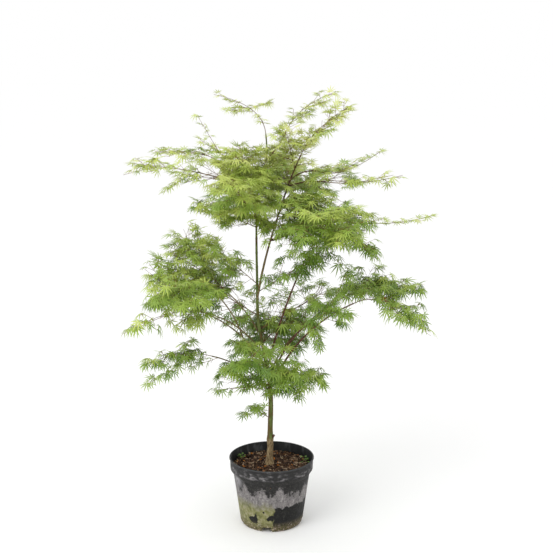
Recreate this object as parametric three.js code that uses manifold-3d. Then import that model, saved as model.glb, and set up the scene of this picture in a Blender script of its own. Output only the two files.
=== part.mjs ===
// A potted Japanese maple of the finely cut, upright kind, about 1.45 m tall with its round nursery pot.
// Millimetres, +Z up. The origin is the middle of the pot's flat underside; -Y is the front, +X the right.
//
// The trunk runs whole from the soil to its tip and carries a second stem and boughs. Each bough ends where it
// enters its own mass of foliage. A mass is one solid: a stem, side twigs in opposite pairs, and palmate leaves.
import * as THREE from "three";
import { mergeVertices } from "three/addons/utils/BufferGeometryUtils.js";
import Module from "manifold-3d";

// ---- Driving sizes ----
const GAP = 0.3; // between solids that touch on the real plant
const POT = {
  height: 225,
  rimRadius: 140,
  lip: 4, // rolled edge: its height, and how far it stands out
  collar: 38, // height of the straight band under the lip
  collarRadius: 136.5,
  step: 16, // height of the slope from the collar in to the wall
  wallTop: 126,
  wallFoot: 103.5,
  footChamfer: 9,
  footRadius: 98,
  wall: 2.2,
  floor: 3,
  segments: 32,
};
const NOTCH = { count: 4, width: 30, height: 11, depth: 16, firstAzimuth: 260 };
const SOIL = { level: 192, mound: 6, crownRadius: 30 };
// The trunk's radii: at its foot, on the rootstock, on the grafted scion above it, at the fork and at its tip.
const TRUNK = { foot: 16, rootstock: 11, scion: 9, fork: 5.2, tip: 2.1, graft: 290, sides: 8, steps: 26 };
const SECOND_STEM = { fork: 757, radius: 4.1, sides: 6, steps: 16 };
const STUBS = { azimuths: [20, 200], height: 296, spacing: 14, radius: 3.5, length: 9 }; // cut twigs
const BOUGH = { sides: 5, steps: 7, base: 1.5, perLength: 0.0058, tipShare: 0.55, leastTip: 1.9 };
const TWIG = { sides: 3, steps: 3, stem: 2.4, stemTip: 1.5, side: 1.7, sideTip: 1.2, shortest: 14, turn: 56 };
const LEAF = {
  longest: 136,
  shortest: 64,
  ofWidth: 0.58, // its length as a share of its mass's width, between those limits
  thickness: 0.024, // this and the next four are shares of its length
  stalk: 0.24,
  notch: 0.31,
  curl: 0.22, // how far a tip hangs below the leaf's plane
  lobeFall: 0.11, // how much shorter the outer lobes are
  lobeTurn: 38, // degrees from one lobe to the next
  hang: 0.6, // how steeply a leaf points down
  sideTurn: 60, // degrees that a leaf on a twig's side stands out from it
};
const NODE_SPACING = 0.62; // of a leaf's length, between one pair of side twigs and the next
const CLEARANCE = 0.6; // least room between a twig or leaf and any solid but its own
const SLIVER = 0.25; // edges shorter than this, left where twigs join, are closed up

const UP = new THREE.Vector3(0, 0, 1);

/** A place round the pot's axis: azimuth in degrees from +X towards +Y, distance from the axis, and height. */
function at(azimuth, reach, height) {
  const angle = THREE.MathUtils.degToRad(azimuth);
  return new THREE.Vector3(reach * Math.cos(angle), reach * Math.sin(angle), height);
}

// ---- The plant's plan ----
// The trunk leans a little to the left above its first boughs, then stands straight, and bends right at the top.
const TRUNK_LINE = [
  at(180, 2, SOIL.level + SOIL.mound + GAP),
  at(180, 5, 290),
  at(180, 3, 450),
  at(180, 20, 560),
  at(180, 42, 680),
  at(160, 49, 830),
  at(150, 55, 1000),
  at(145, 52, 1110),
  at(115, 35, 1210),
  at(115, 44, 1300),
];
const SECOND_STEM_LINE = [
  at(220, 44, 830),
  at(250, 34, 925),
  at(305, 45, 1050),
  at(325, 72, 1150),
  at(327, 112, 1235),
];

/** A mass of foliage: the limb and height that it grows from, its far end, and how wide and deep it is. */
function mass(name, on, height, end, width, depth, bough) {
  return { name, on, height, end, width, depth, bough };
}

/** A bough that carries a mass: it runs to this tip and rises over the straight line to it by its bow. */
function bough(tip, bow) {
  return { tip, bow };
}

const FROM_TIP = null; // in place of a height: the mass carries on from its limb's tip
const PLAN = [
  mass("top_left", "trunk", FROM_TIP, at(173, 190, 1441), 185, 115),
  mass("top_right", "second_stem", FROM_TIP, at(342, 274, 1417), 225, 165),
  mass("top_centre", "second_stem", 1180, at(275, 239, 1357), 270, 195),
  mass("top_high", "trunk", 1205, at(357, 221, 1470), 185, 130, bough(at(20, 50, 1295), -6)),
  mass("upper_tip_left", "trunk", 1108, at(152, 305, 1350), 125, 80, bough(at(142, 165, 1190), 6)),
  mass("upper_left_high", "trunk", 1062, at(178, 399, 1260), 245, 100, bough(at(172, 155, 1195), 16)),
  mass("upper_left_long", "trunk", 1028, at(202, 497, 1237), 245, 150, bough(at(205, 180, 1160), 22)),
  mass("arm_right_high", "second_stem", 1150, at(5, 389, 1265), 190, 85, bough(at(8, 160, 1165), 14)),
  mass("arm_right_low", "second_stem", 1128, at(342, 489, 1195), 195, 85, bough(at(340, 180, 1145), 8)),
  mass("arm_right_thin", "second_stem", 955, at(354, 538, 1046), 145, 55, bough(at(3, 330, 1002), 18)),
  mass("upper_centre", "trunk", 1120, at(244, 273, 1269), 360, 295),
  mass("upper_centre_back", "second_stem", 1125, at(85, 341, 1242), 290, 180),
  mass("upper_right", "second_stem", 1085, at(347, 367, 1037), 280, 200),
  mass("upper_right_front", "second_stem", 1040, at(297, 470, 1109), 340, 295),
  mass("upper_front", "trunk", 1010, at(266, 468, 1193), 315, 250),
  mass("upper_left_front", "trunk", 985, at(226, 373, 1131), 220, 135),
  mass("upper_back_left", "trunk", 995, at(122, 444, 1142), 280, 235, bough(at(114, 180, 1080), 14)),
  mass("upper_back_right", "second_stem", 1045, at(56, 479, 1125), 365, 200, bough(at(62, 180, 1095), 12)),
  mass("under_right", "trunk", 525, at(337, 393, 977), 225, 160, bough(at(339, 130, 930), 12)),
  mass("left_inner", "trunk", 800, at(197, 241, 988), 235, 180),
  mass("left_crown", "trunk", 640, at(160, 355, 1001), 320, 265, bough(at(157, 160, 770), 10)),
  mass("left_outer", "trunk", 505, at(180, 444, 929), 275, 200, bough(at(187, 215, 720), 30)),
  mass("left_front", "bough_left_outer", 635, at(226, 518, 902), 290, 180, bough(at(214, 185, 780), 8)),
  mass("left_droop", "trunk", 550, at(206, 507, 738), 225, 165, bough(at(209, 215, 735), 26)),
  mass("left_back", "trunk", 700, at(125, 422, 831), 315, 300),
  mass("left_low", "trunk", 447, at(191, 472, 577), 230, 120, bough(at(195, 200, 585), 20)),
  mass("left_low_inner", "trunk", 445, at(206, 223, 525), 225, 165),
  mass("low_twig", "trunk", 350, at(218, 134, 452), 125, 95),
  mass("centre_tuft", "trunk", 775, at(306, 257, 991), 285, 185),
  mass("centre_front", "trunk", 545, at(258, 339, 705), 340, 230),
  mass("centre_back", "trunk", 610, at(84, 302, 610), 375, 295),
  mass("right_inner", "trunk", 495, at(301, 409, 834), 275, 210, bough(at(312, 160, 700), 20)),
  mass("right_crown", "trunk", 480, at(12, 487, 838), 355, 210, bough(at(9, 215, 745), 34)),
  mass("right_outer", "trunk", 448, at(340, 543, 719), 220, 180, bough(at(349, 270, 760), 44)),
  mass("right_back", "trunk", 655, at(53, 428, 798), 305, 295),
  mass("right_low", "trunk", 430, at(338, 205, 556), 245, 150, bough(at(329, 66, 480), 6)),
  mass("right_low_front", "trunk", 452, at(287, 238, 572), 235, 180),
];

// How thick the trunk is at each height: the flare at the foot, the swollen graft, then an even taper.
const TRUNK_GIRTH = [
  [SOIL.level, TRUNK.foot],
  [SOIL.level + 12, TRUNK.foot * 0.9],
  [SOIL.level + 34, TRUNK.rootstock],
  [TRUNK.graft - 20, TRUNK.rootstock * 0.9],
  [TRUNK.graft + 12, TRUNK.scion],
  [500, TRUNK.scion * 0.8],
  [620, TRUNK.fork],
  [SECOND_STEM.fork, TRUNK.fork * 0.96],
  [SECOND_STEM.fork + 60, TRUNK.fork * 0.8],
  [1300, TRUNK.tip],
];

const wasm = await Module();
wasm.setup();

/** A stream of numbers from 0 to 1 that is the same at every run. */
function seededNumbers(seed) {
  let state = seed;
  return () => {
    state = (state + 0x6d2b79f5) | 0;
    let mixed = Math.imul(state ^ (state >>> 15), 1 | state);
    mixed = (mixed + Math.imul(mixed ^ (mixed >>> 7), 61 | mixed)) ^ mixed;
    return ((mixed ^ (mixed >>> 14)) >>> 0) / 4294967296;
  };
}

/** A closed geometry as a solid that can be joined and cut: only positions stay, merged where they meet. */
function solidOf(geometry) {
  const bare = new THREE.BufferGeometry();
  bare.setAttribute("position", geometry.getAttribute("position"));
  bare.setIndex(geometry.index);
  const merged = mergeVertices(bare, 1e-4);
  const corners = Array.from(merged.index.array);
  const triVerts = [];
  for (let i = 0; i < corners.length; i += 3) {
    const [a, b, c] = corners.slice(i, i + 3);
    if (a !== b && b !== c && c !== a) triVerts.push(a, b, c); // the faces that close up at an axis have no area
  }
  const vertProperties = merged.getAttribute("position").array;
  return new wasm.Manifold(new wasm.Mesh({ numProp: 3, vertProperties, triVerts: new Uint32Array(triVerts) }));
}

/** A solid of one body as a named mesh with its own material. */
function meshOf(name, solid, color, roughness) {
  const { vertProperties, triVerts } = solid.getMesh();
  const geometry = new THREE.BufferGeometry();
  geometry.setAttribute("position", new THREE.BufferAttribute(vertProperties, 3));
  geometry.setIndex(new THREE.BufferAttribute(triVerts, 1));
  geometry.computeVertexNormals();
  const mesh = new THREE.Mesh(geometry, new THREE.MeshStandardMaterial({ color, roughness, metalness: 0 }));
  mesh.name = name;
  return mesh;
}

/** The biggest body of a solid: a loose scrap or the skin of a sealed hollow is left behind. */
function biggestBody(solid) {
  return solid.decompose().reduce((best, body) => (body.volume() > best.volume() ? body : best));
}

// ---- Limbs ----

/** A round limb: turned on a lathe with its girth from end to end, then bent ring by ring to its curve. */
function bentTaper(curve, radiusAt, sides, steps) {
  const profile = [new THREE.Vector2(0, 0)];
  for (let step = 0; step <= steps; step += 1) profile.push(new THREE.Vector2(radiusAt(step / steps), step));
  profile.push(new THREE.Vector2(0, steps));
  const geometry = new THREE.LatheGeometry(profile, sides);
  const { normals, binormals } = curve.computeFrenetFrames(steps);
  const middles = curve.getSpacedPoints(steps);
  const corners = geometry.getAttribute("position");
  for (let i = 0; i < corners.count; i += 1) {
    const step = Math.round(corners.getY(i));
    const corner = middles[step].clone();
    corner.addScaledVector(binormals[step], corners.getX(i));
    corner.addScaledVector(normals[step], corners.getZ(i));
    corners.setXYZ(i, corner.x, corner.y, corner.z);
  }
  return solidOf(geometry);
}

/** A limb's shape, and the same swollen by the gap that its children keep from it. */
function limbOf(curve, radiusAt, sides, steps) {
  const gap = GAP / Math.cos(Math.PI / sides);
  return {
    curve,
    solid: bentTaper(curve, radiusAt, sides, steps),
    swollen: bentTaper(curve, (share) => radiusAt(share) + gap, sides, steps),
  };
}

/** The share of a rising curve's length at which it passes a height. */
function shareAtHeight(curve, height) {
  let low = 0;
  let high = 1;
  for (let i = 0; i < 30; i += 1) {
    const middle = (low + high) / 2;
    if (curve.getPointAt(middle).z < height) low = middle;
    else high = middle;
  }
  return low;
}

/** A value read off a list of [height, value] pairs. */
function readOff(stations, height) {
  const above = Math.max(1, stations.findIndex(([station]) => station > height));
  if (height >= stations.at(-1)[0]) return stations.at(-1)[1];
  const [from, valueFrom] = stations[above - 1];
  const [to, valueTo] = stations[above];
  return THREE.MathUtils.mapLinear(Math.max(height, from), from, to, valueFrom, valueTo);
}

/** A curve from one place to another whose middle lies off the straight line, on its upper side. */
function bowed(from, to, bow) {
  const chord = to.clone().sub(from);
  const sideways = new THREE.Vector3().crossVectors(UP, chord);
  const upwards = new THREE.Vector3().crossVectors(chord, sideways).normalize();
  const middle = from.clone().lerp(to, 0.5);
  return new THREE.QuadraticBezierCurve3(from, middle.addScaledVector(upwards, 2 * bow), to);
}

function buildTrunk() {
  const curve = new THREE.CatmullRomCurve3(TRUNK_LINE);
  const girth = (share) => readOff(TRUNK_GIRTH, curve.getPointAt(share).z);
  const limb = limbOf(curve, girth, TRUNK.sides, TRUNK.steps);
  const stubs = STUBS.azimuths.map((azimuth, i) => {
    const middle = curve.getPointAt(shareAtHeight(curve, STUBS.height + STUBS.spacing * i));
    const end = middle.clone().addScaledVector(at(azimuth, 1, 0.5).normalize(), TRUNK.scion + STUBS.length);
    return bentTaper(new THREE.LineCurve3(middle, end), () => STUBS.radius, BOUGH.sides, 1);
  });
  limb.solid = wasm.Manifold.union([limb.solid, ...stubs]).trimByPlane([0, 0, 1], SOIL.level + SOIL.mound + GAP);
  return limb;
}

function buildSecondStem(trunk) {
  const start = trunk.curve.getPointAt(shareAtHeight(trunk.curve, SECOND_STEM.fork));
  const curve = new THREE.CatmullRomCurve3([start, ...SECOND_STEM_LINE]);
  const girth = (share) => THREE.MathUtils.lerp(SECOND_STEM.radius, TRUNK.tip, share);
  const limb = limbOf(curve, girth, SECOND_STEM.sides, SECOND_STEM.steps);
  limb.solid = biggestBody(limb.solid.subtract(trunk.swollen));
  return limb;
}

function buildBough(row, parent) {
  const start = parent.curve.getPointAt(shareAtHeight(parent.curve, row.height));
  const curve = bowed(start, row.bough.tip, row.bough.bow);
  const base = BOUGH.base + BOUGH.perLength * curve.getLength();
  const tip = Math.max(BOUGH.leastTip, base * BOUGH.tipShare);
  const limb = limbOf(curve, (share) => THREE.MathUtils.lerp(base, tip, share), BOUGH.sides, BOUGH.steps);
  limb.solid = biggestBody(limb.solid.subtract(parent.swollen));
  return limb;
}

// ---- Foliage ----

/** A palmate leaf one unit long, its stalk's root at the origin and its middle lobe along +X, tips hanging. */
function unitLeaf() {
  const points = 10; // the stalk's root, five lobe tips and the four notches between them
  const geometry = new THREE.SphereGeometry(1, points, 2).rotateX(Math.PI / 2);
  const corners = geometry.getAttribute("position");
  const hub = LEAF.stalk;
  for (let i = 0; i < corners.count; i += 1) {
    const turn = Math.atan2(corners.getY(i), corners.getX(i)) / (2 * Math.PI / points);
    const lobe = Math.round(turn) / 2; // -2 to 2 at a lobe's tip, and halfway between two at a notch
    if (Math.abs(corners.getZ(i)) > 0.5) corners.setXYZ(i, hub, 0, Math.sign(corners.getZ(i)) * LEAF.thickness / 2);
    else if (Math.abs(lobe) > 2) corners.setXYZ(i, 0, 0, 0);
    else {
      const reach = Number.isInteger(lobe) ? (1 - hub) * (1 - LEAF.lobeFall * lobe * lobe) : LEAF.notch;
      const angle = THREE.MathUtils.degToRad(LEAF.lobeTurn * lobe);
      corners.setXYZ(i, hub + reach * Math.cos(angle), reach * Math.sin(angle), -LEAF.curl * reach * reach);
    }
  }
  return solidOf(geometry);
}

/** The rounded, flattened space that a mass keeps to. Its measure is 0 in the middle and 1 at the edge. */
function spaceOf(start, end, width, depth) {
  const along = end.clone().sub(start);
  const half = along.length() / 2;
  along.normalize();
  const side = new THREE.Vector3().crossVectors(UP, along).normalize();
  const lift = new THREE.Vector3().crossVectors(along, side);
  const middle = start.clone().lerp(end, 0.5);
  const fullness = 2.6; // 2 is an ellipsoid, and more is boxier
  const measure = (point) => {
    const off = point.clone().sub(middle);
    const shares = [off.dot(along) / half, off.dot(side) / (width / 2), off.dot(lift) / (depth / 2)];
    return shares.reduce((sum, share) => sum + Math.abs(share) ** fullness, 0) ** (1 / fullness);
  };
  return { measure, side, lift };
}

/** How far one can go from a place before leaving a space. */
function roomAlong(space, from, direction) {
  const stride = 4;
  let gone = 0;
  while (gone < 500 && space.measure(from.clone().addScaledVector(direction, gone + stride)) < 1) gone += stride;
  return gone;
}

/** Every piece that stands already, so that a new one can keep clear of it. */
const standing = [];

function boxOf(solid) {
  const { min, max } = solid.boundingBox();
  return new THREE.Box3(new THREE.Vector3(...min), new THREE.Vector3(...max));
}

/** Whether a solid keeps its clearance from all that stands but the pieces that it grows from. */
function isClear(solid, carriers) {
  const box = boxOf(solid).expandByScalar(CLEARANCE);
  return standing
    .filter((piece) => piece.box.intersectsBox(box) && !carriers.includes(piece.solid))
    .every((piece) => solid.minGap(piece.solid, CLEARANCE) >= CLEARANCE);
}

function stand(solid) {
  standing.push({ solid, box: boxOf(solid) });
}

const LEAF_SHAPE = unitLeaf();
const LEAF_TRIES = [1, 0.85, 0.7].flatMap((size) => [1, 0.4, 1.6].map((hang) => [size, hang]));

/** A leaf at a place, pointing a way, its face turned up as far as that allows and rolled a little. */
function leafAt(place, direction, length, roll) {
  const across = new THREE.Vector3().crossVectors(UP, direction).normalize();
  const face = new THREE.Vector3().crossVectors(direction, across);
  const matrix = new THREE.Matrix4().makeBasis(direction, across, face);
  matrix.multiply(new THREE.Matrix4().makeRotationX(roll));
  matrix.scale(new THREE.Vector3(length, length, length));
  matrix.setPosition(place);
  return LEAF_SHAPE.transform(matrix.elements);
}

/** A mass's space and its stem, which carries on from its limb's tip or leaves its limb's side. */
function startMass(row) {
  const limb = limbs.get(row.bough ? `bough_${row.name}` : row.on);
  const atSide = !row.bough && row.height !== FROM_TIP;
  const share = atSide ? shareAtHeight(limb.curve, row.height) : 1;
  const start = limb.curve.getPointAt(share);
  const direction = atSide ? row.end.clone().sub(start).normalize() : limb.curve.getTangentAt(share);
  if (!atSide) start.addScaledVector(direction, GAP);

  const fullLeaf = THREE.MathUtils.clamp(row.width * LEAF.ofWidth, LEAF.shortest, LEAF.longest);
  const end = row.end.clone().lerp(start, Math.min(0.6, (fullLeaf * 0.85) / row.end.distanceTo(start)));
  const bend = start.clone().addScaledVector(direction, end.distanceTo(start) * 0.4);
  const curve = new THREE.QuadraticBezierCurve3(start, bend, end);
  const girth = (along) => THREE.MathUtils.lerp(TWIG.stem, TWIG.stemTip, along);
  let stem = bentTaper(curve, girth, TWIG.sides, TWIG.steps);
  if (atSide) stem = biggestBody(stem.subtract(limb.swollen));
  stand(stem);
  return { row, space: spaceOf(start, row.end, row.width, row.depth), fullLeaf, curve, stem };
}

/** Grows opposite twigs along a mass's stem, with leaves at their ends and in pairs along the long ones. */
function growMass({ row, space, fullLeaf, curve, stem }, index) {
  const random = seededNumbers(1000 + 17 * index);
  const vary = (amount) => amount * (2 * random() - 1);
  const pieces = [stem];
  const grow = (solid) => {
    pieces.push(solid);
    stand(solid);
    return solid;
  };

  /** Tries a leaf at its full size and then smaller, hanging less and more, where there is room for it. */
  const addLeaf = (place, way, carriers) => {
    const roll = vary(0.45);
    for (const [size, hang] of LEAF_TRIES) {
      const direction = way.clone().addScaledVector(UP, -LEAF.hang * hang).normalize();
      const tip = place.clone().addScaledVector(direction, fullLeaf * size);
      if (space.measure(tip) > 1.05) continue;
      const leaf = leafAt(place, direction, fullLeaf * size, roll);
      if (isClear(leaf, carriers)) return grow(leaf);
    }
    return null;
  };

  const addPair = (place, way, twig) => {
    const carriers = [twig];
    for (const hand of [-1, 1]) {
      const turn = hand * THREE.MathUtils.degToRad(LEAF.sideTurn + vary(14));
      carriers.push(addLeaf(place, way.clone().applyAxisAngle(space.lift, turn), carriers));
    }
  };

  const spacing = NODE_SPACING * fullLeaf;
  const nodes = Math.max(1, Math.round(curve.getLength() / spacing));
  for (let node = 1; node <= nodes; node += 1) {
    const share = (node - 0.5) / nodes;
    const place = curve.getPointAt(share);
    const ahead = curve.getTangentAt(share);
    const carriers = [stem];
    for (const hand of [-1, 1]) {
      const turn = THREE.MathUtils.degToRad(hand * (TWIG.turn + vary(10)));
      const rise = (row.depth / row.width) * (node % 2 ? hand : -hand) * 0.6 + vary(0.15);
      const way = ahead.clone().applyAxisAngle(space.lift, turn).addScaledVector(space.lift, rise).normalize();
      const length = roomAlong(space, place, way) - fullLeaf * 0.8;
      if (length < TWIG.shortest) {
        carriers.push(addLeaf(place, way, carriers));
        continue;
      }
      const end = place.clone().addScaledVector(way, length);
      const girth = (along) => THREE.MathUtils.lerp(TWIG.side, TWIG.sideTip, along);
      const twig = bentTaper(new THREE.LineCurve3(place, end), girth, TWIG.sides, 1);
      if (!isClear(twig, carriers)) continue;
      carriers.push(grow(twig));
      addLeaf(end.clone().addScaledVector(way, -4 * TWIG.sideTip), way, [twig]);
      const pairs = Math.floor(length / spacing + 0.4);
      for (let pair = 1; pair <= pairs; pair += 1) {
        addPair(place.clone().lerp(end, (pair - 0.35) / pairs), way, twig);
      }
    }
  }
  const finish = curve.getTangentAt(1);
  addLeaf(curve.getPointAt(1).addScaledVector(finish, -4 * TWIG.stemTip), finish, [stem]);
  return biggestBody(wasm.Manifold.union(pieces).asOriginal().simplify(SLIVER));
}

// ---- Pot and compost ----

/** The pot's inside from its floor to its mouth, moved in by a clearance. */
function potInside(clearance) {
  const inset = POT.wall + clearance;
  const collarFoot = POT.height - POT.collar;
  return [
    new THREE.Vector2(POT.footRadius - inset, POT.floor + clearance),
    new THREE.Vector2(POT.wallFoot - inset, POT.footChamfer + clearance),
    new THREE.Vector2(POT.wallTop - inset, collarFoot - POT.step),
    new THREE.Vector2(POT.collarRadius - inset, collarFoot),
    new THREE.Vector2(POT.collarRadius - inset + 1, POT.height),
  ];
}

function buildPot() {
  const collarFoot = POT.height - POT.collar;
  const lipFoot = POT.height - POT.lip;
  const outside = [
    new THREE.Vector2(0, 0),
    new THREE.Vector2(POT.footRadius, 0),
    new THREE.Vector2(POT.wallFoot, POT.footChamfer),
    new THREE.Vector2(POT.wallTop, collarFoot - POT.step),
    new THREE.Vector2(POT.collarRadius, collarFoot),
    new THREE.Vector2(POT.collarRadius + 1, lipFoot - 1),
    new THREE.Vector2(POT.rimRadius, lipFoot + 0.5),
    new THREE.Vector2(POT.rimRadius, POT.height - 1),
    new THREE.Vector2(POT.rimRadius - 1, POT.height),
  ];
  const inside = potInside(0).reverse();
  const profile = [...outside, ...inside, new THREE.Vector2(0, POT.floor)];
  const notches = [];
  for (let i = 0; i < NOTCH.count; i += 1) {
    const shape = new THREE.Shape([
      new THREE.Vector2(-NOTCH.width / 2, -1),
      new THREE.Vector2(NOTCH.width / 2, -1),
      new THREE.Vector2(NOTCH.width / 2 - NOTCH.height / 3, NOTCH.height),
      new THREE.Vector2(-NOTCH.width / 2 + NOTCH.height / 3, NOTCH.height),
    ]);
    const notch = new THREE.ExtrudeGeometry(shape, { depth: 2 * NOTCH.depth, bevelEnabled: false });
    notch.rotateX(Math.PI / 2).rotateZ(Math.PI / 2).translate(POT.footRadius - NOTCH.depth, 0, 0);
    notch.rotateZ(THREE.MathUtils.degToRad(NOTCH.firstAzimuth + (360 / NOTCH.count) * i));
    notches.push(solidOf(notch));
  }
  const body = solidOf(new THREE.LatheGeometry(profile, POT.segments).rotateX(Math.PI / 2));
  return body.subtract(wasm.Manifold.union(notches));
}

function buildSoil() {
  const wall = potInside(GAP);
  const top = wall.at(-2).clone();
  top.y = SOIL.level;
  const profile = [
    new THREE.Vector2(0, wall[0].y),
    ...wall.slice(0, -1),
    new THREE.Vector2(top.x, SOIL.level),
    new THREE.Vector2(top.x - 30, SOIL.level + 1),
    new THREE.Vector2(SOIL.crownRadius, SOIL.level + SOIL.mound),
    new THREE.Vector2(0, SOIL.level + SOIL.mound),
  ];
  return solidOf(new THREE.LatheGeometry(profile, POT.segments).rotateX(Math.PI / 2));
}

// ---- Assembly ----

const BARK = { old: "#71695a", green: "#56643a", young: "#5c5a3c" };
const LEAF_TONES = [new THREE.Color("#5f7f36"), new THREE.Color("#88994a"), new THREE.Color("#c3cf8c")];

/** Deep green low in the plant, through mid green, to pale yellow-green at its top. */
function leafTone(height) {
  const rise = THREE.MathUtils.clamp((height - 450) / 900, 0, 1) * 2;
  const from = Math.min(1, Math.floor(rise));
  return LEAF_TONES[from].clone().lerp(LEAF_TONES[from + 1], rise - from);
}

const limbs = new Map();
limbs.set("trunk", buildTrunk());
limbs.set("second_stem", buildSecondStem(limbs.get("trunk")));
for (const row of PLAN.filter((each) => each.bough)) {
  limbs.set(`bough_${row.name}`, buildBough(row, limbs.get(row.on)));
}
limbs.forEach(({ solid }) => stand(solid));

const potGroup = new THREE.Group();
potGroup.add(meshOf("pot", buildPot(), "#3b3a37", 0.75));
potGroup.add(meshOf("soil", buildSoil(), "#3d2c20", 1));

const limbGroup = new THREE.Group();
limbs.forEach(({ solid }, name) => {
  const color = name === "trunk" ? BARK.old : name === "second_stem" ? BARK.green : BARK.young;
  limbGroup.add(meshOf(name, solid, color, 0.8));
});

const foliageGroup = new THREE.Group();
PLAN.map(startMass).forEach((mass, index) => {
  const color = leafTone((mass.curve.getPoint(0).z + mass.row.end.z) / 2);
  foliageGroup.add(meshOf(`foliage_${mass.row.name}`, growMass(mass, index), color, 0.7));
});

const plant = new THREE.Group();
plant.add(potGroup, limbGroup, foliageGroup);

export default plant;
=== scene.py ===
# %% [markdown]
# # A potted Japanese maple
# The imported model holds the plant's construction: a nursery pot filled with compost, a trunk with its second
# stem and boughs, and thirty-seven masses of foliage. This lesson gives each of them its finish. It starts by
# loading that model as a fixed frame, and everything made later is placed by what the frame says.

# %% Load the frame
import math
import random
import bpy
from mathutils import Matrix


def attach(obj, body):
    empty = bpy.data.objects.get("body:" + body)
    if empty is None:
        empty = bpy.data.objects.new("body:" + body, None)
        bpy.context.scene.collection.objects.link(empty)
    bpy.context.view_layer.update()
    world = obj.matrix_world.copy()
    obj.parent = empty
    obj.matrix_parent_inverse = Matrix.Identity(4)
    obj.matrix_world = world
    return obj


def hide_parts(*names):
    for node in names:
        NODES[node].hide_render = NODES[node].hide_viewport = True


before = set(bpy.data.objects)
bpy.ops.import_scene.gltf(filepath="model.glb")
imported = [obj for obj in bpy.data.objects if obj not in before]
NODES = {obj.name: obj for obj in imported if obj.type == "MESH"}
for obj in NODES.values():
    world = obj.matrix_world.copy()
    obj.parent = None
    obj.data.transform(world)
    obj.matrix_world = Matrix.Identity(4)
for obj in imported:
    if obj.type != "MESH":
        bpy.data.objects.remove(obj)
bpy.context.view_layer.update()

from types import SimpleNamespace

import bpy
import numpy as np
from mathutils import Vector, noise

LIMBS = ["trunk", "second_stem"] + sorted(name for name in NODES if name.startswith("bough_"))

# %% [markdown]
# ## Small helpers
# Paint charts give colours as sRGB values, while Blender's sockets take linear light, so one function turns
# the first into the second. Another adds a node to a material with its settings and links. A third starts a
# material: whatever is the same all over the surface is set on the shader's own sockets.

# %% Colours, nodes and materials
def linear(hex_colour):
    """An sRGB hex value as the linear colour, with alpha, that a socket takes."""
    channels = [int(hex_colour[i:i + 2], 16) / 255 for i in (1, 3, 5)]
    return [c / 12.92 if c <= 0.04045 else ((c + 0.055) / 1.055) ** 2.4 for c in channels] + [1.0]


def add_node(tree, kind, inputs=(), stops=(), **settings):
    """Adds a node: inputs hold values or other nodes' outputs, stops are a ramp's positions and colours."""
    made = tree.nodes.new(kind)
    for name, value in settings.items():
        setattr(made, name, value)
    for index, (position, colour) in enumerate(stops):
        elements = made.color_ramp.elements
        stop = elements[index] if index < 2 else elements.new(position)
        stop.position, stop.color = position, linear(colour)
    for socket, value in dict(inputs).items():
        if isinstance(value, bpy.types.NodeSocket):
            tree.links.new(value, made.inputs[socket])
        else:
            made.inputs[socket].default_value = value
    return made


def new_material(name, hex_colour, roughness, **constants):
    """A material with one Principled shader. Constants are its other sockets, with _ for a space."""
    made = bpy.data.materials.new(name)
    made.use_nodes = True
    shader = made.node_tree.nodes["Principled BSDF"]
    shader.inputs["Base Color"].default_value = linear(hex_colour)
    shader.inputs["Roughness"].default_value = roughness
    for socket, value in constants.items():
        shader.inputs[socket.replace("_", " ")].default_value = value
    made.diffuse_color = linear(hex_colour)
    return made, made.node_tree, shader


# %% Picking up and finishing a piece
def select_only(*objects):
    """Deselects everything, then selects these, the last one active."""
    bpy.ops.object.select_all(action="DESELECT")
    for each in objects:
        each.select_set(True)
        bpy.context.view_layer.objects.active = each


def apply_modifier(piece, kind, **settings):
    """Adds a modifier with its settings and applies it."""
    select_only(piece)
    bpy.ops.object.modifier_add(type=kind)
    modifier = piece.modifiers[-1]
    for name, value in settings.items():
        setattr(modifier, name, value)
    bpy.ops.object.modifier_apply(modifier=modifier.name)


def finish_piece(piece, name, materials, replaces=()):
    """Names a piece, moves its place into its mesh, gives it its materials and lets it ride on the plant."""
    piece.name = piece.data.name = name
    select_only(piece)
    bpy.ops.object.transform_apply(location=True, rotation=True, scale=True)
    for material in materials if not piece.data.materials else ():
        piece.data.materials.append(material)
    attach(piece, "root")
    if replaces:
        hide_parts(*replaces)
    print(f"{name}: {len(piece.data.polygons)} faces")
    return piece


# %% Meshes of many small parts
def add_part(corners, faces, part_corners, part_faces):
    """Appends one part's corners and faces to those of the whole."""
    first = len(corners)
    corners += list(part_corners)
    faces += [[first + corner for corner in face] for face in part_faces]


def mesh_piece(name, corners, faces, tones=None, materials=()):
    """An object from arrays of corners, faces and each face's material, for small things that are many."""
    mesh = bpy.data.meshes.new(name)
    mesh.from_pydata(np.asarray(corners).tolist(), [], [list(map(int, face)) for face in faces])
    for material in materials:
        mesh.materials.append(material)
    if tones is not None:
        mesh.polygons.foreach_set("material_index", np.asarray(tones, dtype=np.int32))
    mesh.update()
    piece = bpy.data.objects.new(name, mesh)
    bpy.context.scene.collection.objects.link(piece)
    return piece


# %% [markdown]
# ## Camera, light and floor
# The plant is seen from the front, from a little above its middle, through a long lens that keeps its
# proportions. Plants are best shown in even light with no hard shadow: a white surround does most of it, and
# one large lamp from the upper left gives leaves and trunk a lit side. The floor is plain and pale.

# %% Studio
CAMERA_HEIGHT = 1.6026
CAMERA_DISTANCE = 3.5136
CAMERA_PITCH = 0.2155  # radians below the horizon
CAMERA_ASIDE = 0.0163
LENS_MM, SENSOR_MM = 73.26, 36.0
LAMP_AT, LAMP_AIM = (-1.9, -2.4, 3.4), (0, 0, 0.8)
LAMP_WIDTH, LAMP_WATTS = 2.4, 60

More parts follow.
